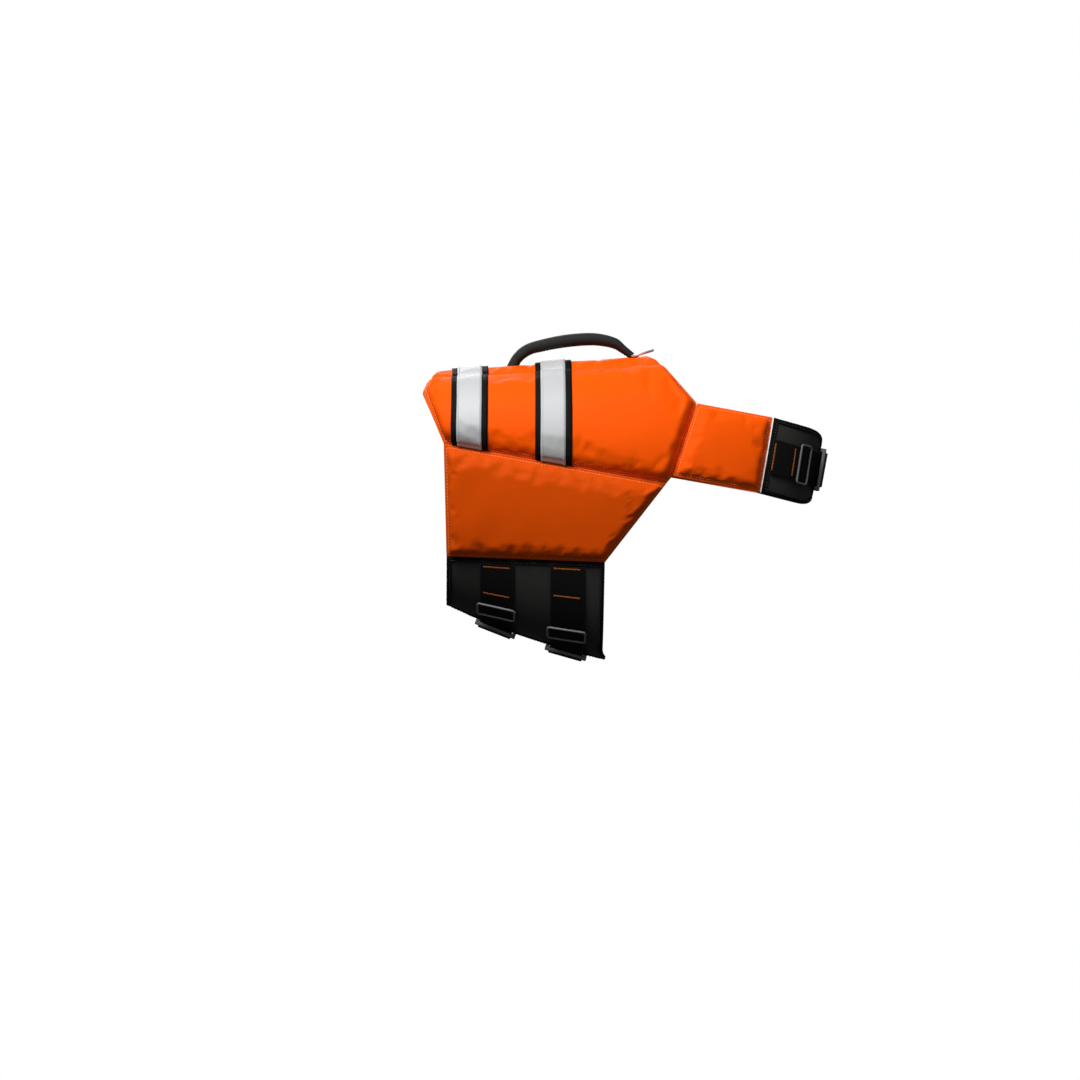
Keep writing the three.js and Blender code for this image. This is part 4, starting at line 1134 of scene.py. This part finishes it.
def bar_tack(strap, run, hand):
    """A dense row of stitches across the strap, each a little aslant."""
    across = np.arange(-TACK["half_long"], TACK["half_long"] + 0.1, TACK["pitch"])
    foot, out = strap["place"](across, np.full(len(across), run))
    ahead = strap["place"](across, np.full(len(across), run + 1))[0]
    point = foot + out * (FLAP_THICK + LAY_GAP + WEB["thick"])
    along = unit(ahead - foot) + unit(np.gradient(point, axis=0)) * TACK["slant"]
    flip = np.array((1, hand, 1))
    threads["bar tack"].append((point * flip, along * flip, out * flip))


straps = {f"belly_{row['name']}": belly_strap(row) for row in BELLY_STRAPS}
straps["chest"] = chest_strap()
half = WEB["wide"] / 2
near_edge = half - np.array(WEB_EDGE_STEPS)
across = np.concatenate([-near_edge, np.linspace(-WEB_FLAT_HALF, WEB_FLAT_HALF, 13), near_edge[::-1]])
from_edge = half - np.abs(across)
edge_share = 1 - np.clip(from_edge / WEB_EDGE_STEPS[-1], 0.06, 1)
thick = WEB["thick"] / 2 * np.sqrt(1 - edge_share**2)
for name, strap in straps.items():
    middle = np.array([strap_middle(strap, a) for a in across])
    centre = len(across) // 2
    normal = -face_normals(middle)
    normal = normal * np.sign((normal[centre, 0] * strap["place"](0.0, STRAP_START)[1]).sum())
    run = distance_along(middle[centre])
    cloth = np.stack(np.broadcast_arrays(run[None, :], across[:, None], from_edge[:, None]), -1)
    low, high = middle - normal * thick[:, None, None], middle + normal * thick[:, None, None]
    for side, hand in SIDES.items():
        node = f"{strap_node(name, 'webbing')}_{side}"
        dress(shell(f"{node}_strip", low, high, cloth, hand), black_webbing, "black_webbing", node)
        for tack in strap["tacks"]:
            bar_tack(strap, tack, hand)

# SLIDERS
# Strap adjusters moulded in grey plastic, one on each strap: a rounded frame with a middle bar that the
# webbing bends over, and a foot at each end of the bar that joins it to the frame.
GREY = (0.12, 0.12, 0.122)
# the plastic's ridge colour: worn paler, with a painted highlight
WORN_HIGHLIGHT_GREY = (0.17, 0.17, 0.174)
SLIDER = {"half_wide": 22, "half_long": 9, "rail": 2, "corner": 4, "hole_corner": 2.4, "roll": 0.8}
SLIDER_RISE = {"frame": (2.8, 5.2), "bar": (0.5, 1.7), "foot": (0.5, 3.8)}
SLIDER_BAR = {"half_wide": 21.8, "half_long": 1.2, "corner": 0.6, "roll": 0.4}
SLIDER_FOOT = {"at": 20.8, "half_wide": 1, "half_long": 4.5, "roll": 0.5}


def moulded_plastic():
    made, nodes, shader = material("grey moulded plastic")
    place = nodes.add("ShaderNodeTexCoord").outputs["Object"]
    flow = nodes.add("ShaderNodeTexNoise", {"Vector": place, "Scale": 45, "Detail": 3})
    grain = nodes.add("ShaderNodeTexNoise", {"Vector": place, "Scale": 2200, "Detail": 2})
    # paler on sharp ridges found by pointiness: wear, with a painted highlight
    ridge = nodes.add("ShaderNodeNewGeometry").outputs["Pointiness"]
    ridge_wear_highlight = nodes.add("ShaderNodeMapRange", {0: ridge, 1: 0.52, 2: 0.62, 3: 0.0, 4: 0.5}).outputs[0]
    tone = nodes.mix(flow.outputs[0], tuple(0.8 * c for c in GREY), tuple(1.15 * c for c in GREY))
    nodes.put(shader["Base Color"], nodes.mix(ridge_wear_highlight, tone, WORN_HIGHLIGHT_GREY))
    nodes.put(shader["Roughness"], nodes.math("MULTIPLY_ADD", grain.outputs[0], 0.16, 0.38))
    nodes.relief(shader, grain.outputs[0], 0.04, 0.5)
    return made


grey_plastic = moulded_plastic()


def rounded(corners, radius, steps=5):
    """A closed outline with its corners rounded."""
    corners = np.array(corners, float)
    outline = []
    for k, corner in enumerate(corners):
        before = unit(corners[k - 1] - corner)
        after = unit(corners[(k + 1) % len(corners)] - corner)
        for share in np.linspace(0, 1, steps + 1):
            bend = before * (1 - share) ** 2 + after * share**2
            outline.append(corner + bend * radius)
    return outline


def box_outline(half_wide, low, high, radius):
    return rounded([(-half_wide, low), (half_wide, low), (half_wide, high), (-half_wide, high)], radius)


def plate(outlines, low, high, roll):
    """A moulded plate between two heights, its outlines drawn as across and along, with rolled edges."""
    curve = bpy.data.curves.new("outline", "CURVE")
    curve.dimensions = "2D"
    curve.fill_mode = "BOTH"
    for outline in outlines:
        spline = curve.splines.new("POLY")
        spline.points.add(len(outline) - 1)
        for point, (across, along) in zip(spline.points, outline):
            point.co = (across * MM, along * MM, 0, 1)
        spline.use_cyclic_u = True
    curve.offset = -roll * MM
    curve.bevel_depth = roll * MM
    curve.bevel_resolution = 2
    curve.extrude = ((high - low) / 2 - roll) * MM
    made = bpy.data.objects.new("plate", curve)
    bpy.context.scene.collection.objects.link(made)
    mesh = bpy.data.meshes.new_from_object(made.evaluated_get(bpy.context.evaluated_depsgraph_get()))
    bpy.data.objects.remove(made)
    mesh.transform(Matrix.Translation((0, 0, (low + high) / 2 * MM)))
    return mesh


def moulding(plates):
    """Plates grown together into one moulded piece."""
    solids = []
    for mesh in plates:
        work = bmesh.new()
        work.from_mesh(mesh)
        bmesh.ops.remove_doubles(work, verts=work.verts, dist=0.002 * MM)
        bmesh.ops.recalc_face_normals(work, faces=work.faces)
        work.to_mesh(mesh)
        work.free()
        solids.append(bpy.data.objects.new("part_of_moulding", mesh))
        bpy.context.scene.collection.objects.link(solids[-1])
    whole = solids[0]
    for other in solids[1:]:
        join = whole.modifiers.new("join", "BOOLEAN")
        join.operation, join.solver, join.object = "UNION", "EXACT", other
    result = bpy.data.meshes.new_from_object(whole.evaluated_get(bpy.context.evaluated_depsgraph_get()))
    for solid in solids:
        bpy.data.objects.remove(solid)
    result.polygons.foreach_set("use_smooth", [True] * len(result.polygons))
    result.set_sharp_from_angle(angle=radians(38))
    return result


def seated(name, mesh, axes, node):
    """A copy of a moulded plastic piece on its seat."""
    copy = mesh.copy()
    columns = [Vector(axes[key]) for key in ("across", "along", "out")]
    turn = Matrix(columns).transposed().to_4x4()
    copy.transform(Matrix.Translation(Vector(axes["origin"]) * MM) @ turn)
    made = bpy.data.objects.new(name, copy)
    bpy.context.scene.collection.objects.link(made)
    dress(made, grey_plastic, "grey_plastic", node)


def mirrored_axes(axes):
    """The seat on the other side: mirrored, and turned to stay right-handed."""
    flip = np.array((1, -1, 1))
    return frame_at(axes["origin"] * flip, axes["out"] * flip, axes["along"] * flip)


slider_half, slider_long = SLIDER["half_wide"], SLIDER["half_long"]
hole_half, hole_long = slider_half - SLIDER["rail"], slider_long - SLIDER["rail"]
slider_outlines = [
    box_outline(slider_half, -slider_long, slider_long, SLIDER["corner"]),
    box_outline(hole_half, -hole_long, hole_long, SLIDER["hole_corner"]),
]
bar_outline = box_outline(
    SLIDER_BAR["half_wide"], -SLIDER_BAR["half_long"], SLIDER_BAR["half_long"], SLIDER_BAR["corner"]
)
slider_plates = [
    plate(slider_outlines, *SLIDER_RISE["frame"], SLIDER["roll"]),
    plate([bar_outline], *SLIDER_RISE["bar"], SLIDER_BAR["roll"]),
]
for at in (-SLIDER_FOOT["at"], SLIDER_FOOT["at"]):
    near, far = at - SLIDER_FOOT["half_wide"], at + SLIDER_FOOT["half_wide"]
    reach = SLIDER_FOOT["half_long"]
    outline = [(near, -reach), (far, -reach), (far, reach), (near, reach)]
    slider_plates.append(plate([outline], *SLIDER_RISE["foot"], SLIDER_FOOT["roll"]))
slider_mesh = moulding(slider_plates)
for name, strap in straps.items():
    point, normal = strap["place"](0.0, strap["slider"])
    ahead = strap["place"](0.0, strap["slider"] + 1)[0]
    axes = frame_at(point + normal * FLAP_THICK, normal, ahead - point)
    for side, seat in (("left", axes), ("right", mirrored_axes(axes))):
        node = f"{strap_node(name, 'slider')}_{side}"
        seated(f"{node}_frame", slider_mesh, seat, node)

# BUCKLES
# Side-release buckles in the same plastic: the plug's two sprung arms click into the socket's sides, and
# each half has a slot and an end bar for its strap. Its rails hook round towards the flap at both ends.
BUCKLE = {"half_wide": 23.5, "half_long": 29, "face": 3.1, "rim": 7.2, "roll": 1.1}
RAIL = {"inside": 19.3, "outside": 23.4, "near": 16, "tip": 28.6, "corner": 0.9, "roll": 0.6}
RAIL_RISE = (1, 5.1)
SLOT = {"half": 19.8, "near": 21.7, "far": 25.9, "corner": 0.8}
PLUG = {"from": 12, "arm_to": -5.6, "arm_inside": 18, "arm_bend": 4, "corner": 1.5}
SOCKET = {"to": 11.65, "neck": 17.65, "neck_from": -6.2, "shoulder": -7, "corner": 1.8}
CROWN_RISE = (6.2, 9.2)
CROWN_ROLL = 0.9
SOCKET_CROWN = {"outline": [(-15, -18), (15, -18), (14, 7), (0, 9.6), (-14, 7)], "corner": 3}
PLUG_CROWN = {"outline": [(-15, 14.5), (15, 14.5), (14, 19.5), (-14, 19.5)], "corner": 1.8}
GRIP = {"half_wide": 2.4, "half_long": 0.5, "corner": 0.45, "roll": 0.4, "at": (-3, -0.6, 1.8, 4.2)}
GRIP_RISE = (6.6, 7.65)


def crown(table):
    return plate([rounded(table["outline"], table["corner"])], *CROWN_RISE, CROWN_ROLL)


def buckle_half(end, core, extras):
    """One half: its body with the strap slot, the rails hooking round beside it, and what stands on it."""
    slot = box_outline(SLOT["half"], end * SLOT["near"], end * SLOT["far"], SLOT["corner"])
    plates = [plate([core, slot], BUCKLE["face"], BUCKLE["rim"], BUCKLE["roll"])]
    near, tip = end * RAIL["near"], end * RAIL["tip"]
    for hand in (-1, 1):
        inside, outside = hand * RAIL["inside"], hand * RAIL["outside"]
        rail = rounded([(inside, near), (outside, near), (outside, tip), (inside, tip)], RAIL["corner"])
        plates.append(plate([rail], *RAIL_RISE, RAIL["roll"]))
    return moulding(plates + extras)


buckle_half_wide, buckle_end = BUCKLE["half_wide"], BUCKLE["half_long"]
arm_inside, arm_to, neck = PLUG["arm_inside"], PLUG["arm_to"], SOCKET["neck"]
socket_core = [
    (-buckle_half_wide, -buckle_end), (buckle_half_wide, -buckle_end),
    (buckle_half_wide, SOCKET["shoulder"]), (neck, SOCKET["neck_from"]), (neck, SOCKET["to"]),
    (-neck, SOCKET["to"]), (-neck, SOCKET["neck_from"]), (-buckle_half_wide, SOCKET["shoulder"]),
]
plug_core = [
    (buckle_half_wide, buckle_end), (-buckle_half_wide, buckle_end), (-buckle_half_wide, PLUG["arm_bend"]),
    (-buckle_half_wide, arm_to), (-arm_inside, arm_to), (-arm_inside, PLUG["from"]),
    (arm_inside, PLUG["from"]), (arm_inside, arm_to), (buckle_half_wide, arm_to),
    (buckle_half_wide, PLUG["arm_bend"]),
]
grips = []
for hand in (1, -1):
    for along in GRIP["at"]:
        low, high = along - GRIP["half_long"], along + GRIP["half_long"]
        grip = plate([box_outline(GRIP["half_wide"], low, high, GRIP["corner"])], *GRIP_RISE, GRIP["roll"])
        grip.transform(Matrix.Translation((hand * (buckle_half_wide + arm_inside) / 2 * MM, 0, 0)))
        grips.append(grip)
buckle_halves = {
    "socket": buckle_half(-1, rounded(socket_core, SOCKET["corner"]), [crown(SOCKET_CROWN)]),
    "plug": buckle_half(1, rounded(plug_core, PLUG["corner"]), [crown(PLUG_CROWN), *grips]),
}
for name, strap in straps.items():
    for half, mesh in buckle_halves.items():
        node = f"{strap_node(name, 'buckle')}_{half}"
        seated(f"{node}_moulding", mesh, strap["seat"], node)

# HANDLE
# A lifting handle of webbing padded and sleeved in smooth black neoprene, its feet sewn through the spine
# panel. The front foot is a loop that holds the ring.
HANDLE = [
    {"x": -33.5, "z": 8.6, "thick": 11.8}, {"x": -28, "z": 18.3, "thick": 11.8},
    {"x": -16.9, "z": 27.2, "thick": 12.6}, {"x": 3.4, "z": 33.1, "thick": 13.4},
    {"x": 29.9, "z": 37.6, "thick": 14}, {"x": 56.8, "z": 38.9, "thick": 13.6},
    {"x": 77.8, "z": 34.8, "thick": 12}, {"x": 88.4, "z": 27.7, "thick": 9},
    {"x": 97.6, "z": 20.9, "thick": 7.4}, {"x": 102.5, "z": 17.5, "thick": 7},
]
HANDLE_WIDE = 29
SLEEVE = (0.014, 0.014, 0.013)
CREASE = {"wave": 19, "high": 0.035, "round": 9, "at": (24, 128), "spread": 16, "seed": 140}
SLEEVE_SEAM = {"at": 0.75, "spread": 0.012, "deep": 0.035}
RING = {"x": 99, "z": 20.3, "rod": 3, "inside": 38, "deep": 22.5, "corner": 5, "tilt": 16.7, "play": 0.35}


def handle_rings():
    """Rounded rings across the handle's middle line. The two foot rings lie flat on the spine panel."""
    angle = np.linspace(0, tau, 37)[:-1]
    wide = np.sign(np.cos(angle)) * np.abs(np.cos(angle)) ** 0.62 / 2
    thick = np.sign(np.sin(angle)) * np.abs(np.sin(angle)) ** 0.8 / 2
    slope = np.arctan(BACK_SLOPE)
    rings = []
    for k, station in enumerate(HANDLE):
        before, after = HANDLE[max(k - 1, 0)], HANDLE[min(k + 1, len(HANDLE) - 1)]
        way = np.arctan2(after["z"] - before["z"], after["x"] - before["x"])
        foot = k in (0, len(HANDLE) - 1)
        lean = slope if foot else way + pi / 2
        grow = (-1 if k == 0 else 1) * station["thick"] / (abs(sin(way - slope)) if foot else 1)
        ring = np.zeros((len(angle), 3))
        ring[:, 0] = station["x"] + cos(lean) * grow * thick
        ring[:, 1] = -wide * HANDLE_WIDE
        ring[:, 2] = station["z"] + sin(lean) * grow * thick
        rings.append(ring)
    return np.array(rings)


rings = curve_through(handle_rings(), np.linspace(0, len(HANDLE) - 1.001, 110))
middle = rings.mean(axis=1, keepdims=True)
run = distance_along(middle[:, 0])[:, None]
around = np.linspace(0, 1, rings.shape[1], endpoint=False)[None, :]
crease = unevenness(run, np.sin(tau * around) * CREASE["round"], CREASE["wave"], CREASE["seed"])
slack = sum(np.exp(-(((run - at) / CREASE["spread"]) ** 2)) for at in CREASE["at"])
under = smooth_step(0.5 - 0.9 * np.sin(tau * around))
seam = SLEEVE_SEAM["deep"] * np.exp(-(((around - SLEEVE_SEAM["at"]) / SLEEVE_SEAM["spread"]) ** 2))
rings = middle + (rings - middle) * (1 + CREASE["high"] * crease * slack * under - seam)[..., None]
rings[[0, -1], :, 2] -= 1
handle_sleeve = neoprene_finish("black handle sleeve", SLEEVE)
handle = loft("handle_sleeve", rings[:, ::-1], False)
tunnel = bpy.data.meshes.new("tunnel")
work = bmesh.new()
reach = RING["rod"] / 2 + RING["play"]
bmesh.ops.create_cone(work, cap_ends=True, segments=32, radius1=reach * MM, radius2=reach * MM, depth=0.08)
work.transform(Matrix.Translation((RING["x"] * MM, 0, RING["z"] * MM)) @ Matrix.Rotation(pi / 2, 4, "X"))
work.to_mesh(tunnel)
work.free()
drill = bpy.data.objects.new("tunnel", tunnel)
bpy.context.scene.collection.objects.link(drill)
cut = handle.modifiers.new("tunnel", "BOOLEAN")
cut.operation, cut.solver, cut.object = "DIFFERENCE", "EXACT", drill
bored = bpy.data.meshes.new_from_object(handle.evaluated_get(bpy.context.evaluated_depsgraph_get()))
handle.modifiers.clear()
handle.data = bored
bpy.data.objects.remove(drill)
dress(handle, handle_sleeve, "handle_sleeve", "handle")
for hand in (-1, 1):
    row = rings[4:-12, 27 + hand * 2]
    out = unit(row - middle[4:-12, 0])
    sew("black", row, out)

# LEASH RING
# A D of round steel rod, welded shut and polished. Its straight side lies in the handle's front foot and
# turns there.


def ring_path():
    half = (RING["inside"] + RING["rod"]) / 2
    corner = RING["corner"]
    path = [(0, y) for y in np.linspace(corner - half, half - corner, 24)]
    turn = np.linspace(0, pi / 2, 9)[1:]
    path += [(corner * (1 - cos(a)), half - corner * (1 - sin(a))) for a in turn]
    bow = np.linspace(0, pi, 50)[1:-1]
    path += [(corner + (RING["deep"] - corner) * sin(a), half * cos(a)) for a in bow]
    path += [(corner * (1 - cos(a)), -half + corner * (1 - sin(a))) for a in turn[::-1]]
    return np.array(path)


def polished_steel():
    made, nodes, shader = material("polished steel")
    place = nodes.cloth()
    draw = nodes.add("ShaderNodeMapping", {"Vector": place, "Scale": (0.06, 2.5, 1)}).outputs[0]
    lines = nodes.add("ShaderNodeTexNoise", {"Vector": draw, "Scale": 3, "Detail": 4})
    dull = nodes.add("ShaderNodeTexNoise", {"Vector": place, "Scale": 0.12, "Detail": 3})
    nodes.put(shader["Base Color"], nodes.mix(dull.outputs[0], (0.84, 0.85, 0.86), (0.95, 0.95, 0.95)))
    rough = nodes.math("MULTIPLY_ADD", dull.outputs[0], 0.16, 0.26)
    nodes.put(shader["Roughness"], nodes.math("MULTIPLY_ADD", lines.outputs[0], 0.1, rough))
    nodes.relief(shader, lines.outputs[0], 0.02, 0.3)
    shader["Metallic"].default_value = 0.75
    return made


path = ring_path()
ahead = unit(np.roll(path, -1, 0) - np.roll(path, 1, 0))
inward = np.stack([-ahead[:, 1], ahead[:, 0]], -1)
angle = np.linspace(0, tau, 21)[:-1]
lean = radians(RING["tilt"])
rod = []
for turn in angle:
    flat = path + inward * cos(turn) * RING["rod"] / 2
    up = np.full(len(path), sin(turn) * RING["rod"] / 2)
    x = RING["x"] + flat[:, 0] * cos(lean) - up * sin(lean)
    z = RING["z"] + flat[:, 0] * sin(lean) + up * cos(lean)
    rod.append(np.stack([x, flat[:, 1], z], -1))
leash_ring = loft("leash_ring_rod", np.stack(rod, 1), True)
dress(leash_ring, polished_steel(), "steel", "leash_ring", body="leash_ring")

# THREAD
# Bonded nylon thread in three colours, worked as single arched stitches: the rows round the foam panels,
# along the bindings, the tapes and the handle, and the bar tacks on the straps. The bar tacks take the
# orange thread painted darker, as painted shade.
THREADS = {
    "orange": {"color": (1.0, 0.4, 0.16), "slot": "orange_cloth", "size": "row"},
    "black": {"color": (0.03, 0.03, 0.03), "slot": "black_binding", "size": "row"},
    "grey": {"color": (0.45, 0.46, 0.47), "slot": "silver_tape", "size": "row"},
    # the bar tack thread is the orange thread painted darker, as painted shade
    "bar tack": {"color": (0.44, 0.11, 0.005), "slot": "orange_cloth", "size": "bar tack"},
}


def thread_finish(name, color):
    made, nodes, shader = material(name)
    place = nodes.cloth()
    waves = {"Vector": place, "Scale": 2.2, "Distortion": 0.6}
    twist = nodes.add("ShaderNodeTexWave", waves, bands_direction="DIAGONAL").outputs[1]
    tone = nodes.effect(CLOTH_TONE, Color=color, Vector=place, Gap=twist, Uneven=0.25, Wear=0.0)
    nodes.put(shader["Base Color"], tone["Color"])
    nodes.relief(shader, twist, 0.06, 0.6)
    shader["Roughness"].default_value = 0.45
    return made


for kind, rows in threads.items():
    thread = THREADS[kind]
    place, along, out = (np.concatenate([row[k] for row in rows]) for k in range(3))
    stitches = stitch_rows(f"{kind.replace(' ', '_')}_stitches", place, along, out, **STITCH[thread["size"]])
    dress(stitches, thread_finish(f"{kind} thread", thread["color"]), thread["slot"])

# LIGHT
# Soft studio light from the upper left, and a plain white surround that shines a little on all sides,
# least from below.
LIGHTS = [
    {"name": "key", "at": (-0.85, -1.55, 1.85), "size": 0.9, "watts": 84},
    {"name": "fill", "at": (1.4, -1.8, 0.2), "size": 1.8, "watts": 2},
    {"name": "back", "at": (-0.5, 2.0, 0.9), "size": 1.6, "watts": 40},
]
for row in LIGHTS:
    lamp = bpy.data.objects.new(row["name"], bpy.data.lights.new(row["name"], "AREA"))
    lamp.data.size = row["size"]
    lamp.data.energy = row["watts"]
    lamp.location = row["at"]
    lamp.rotation_euler = (VIEW_CENTRE - lamp.location).to_track_quat("-Z", "Y").to_euler()
    bpy.context.scene.collection.objects.link(lamp)

world = bpy.data.worlds.new("studio")
bpy.context.scene.world = world
world.use_nodes = True
world.node_tree.nodes.clear()
sky = Nodes(world.node_tree)
height = sky.add("ShaderNodeSeparateXYZ", {0: sky.add("ShaderNodeTexCoord").outputs["Generated"]}).outputs[2]
glow = sky.add("ShaderNodeMapRange", {0: height, 1: -0.6, 2: 0.9, 3: 0.3, 4: 1.0}).outputs[0]
ambient = sky.add("ShaderNodeBackground", {"Color": (1, 1, 1), "Strength": sky.math("MULTIPLY", glow, 0.24)})
seen = sky.add("ShaderNodeBackground", {"Color": (1, 1, 1), "Strength": 1.0})
camera_ray = sky.add("ShaderNodeLightPath").outputs["Is Camera Ray"]
blend = sky.add("ShaderNodeMixShader", {0: camera_ray, 1: ambient.outputs[0], 2: seen.outputs[0]})
sky.put(sky.add("ShaderNodeOutputWorld").inputs[0], blend.outputs[0])
bpy.context.scene.view_settings.view_transform = "Standard"
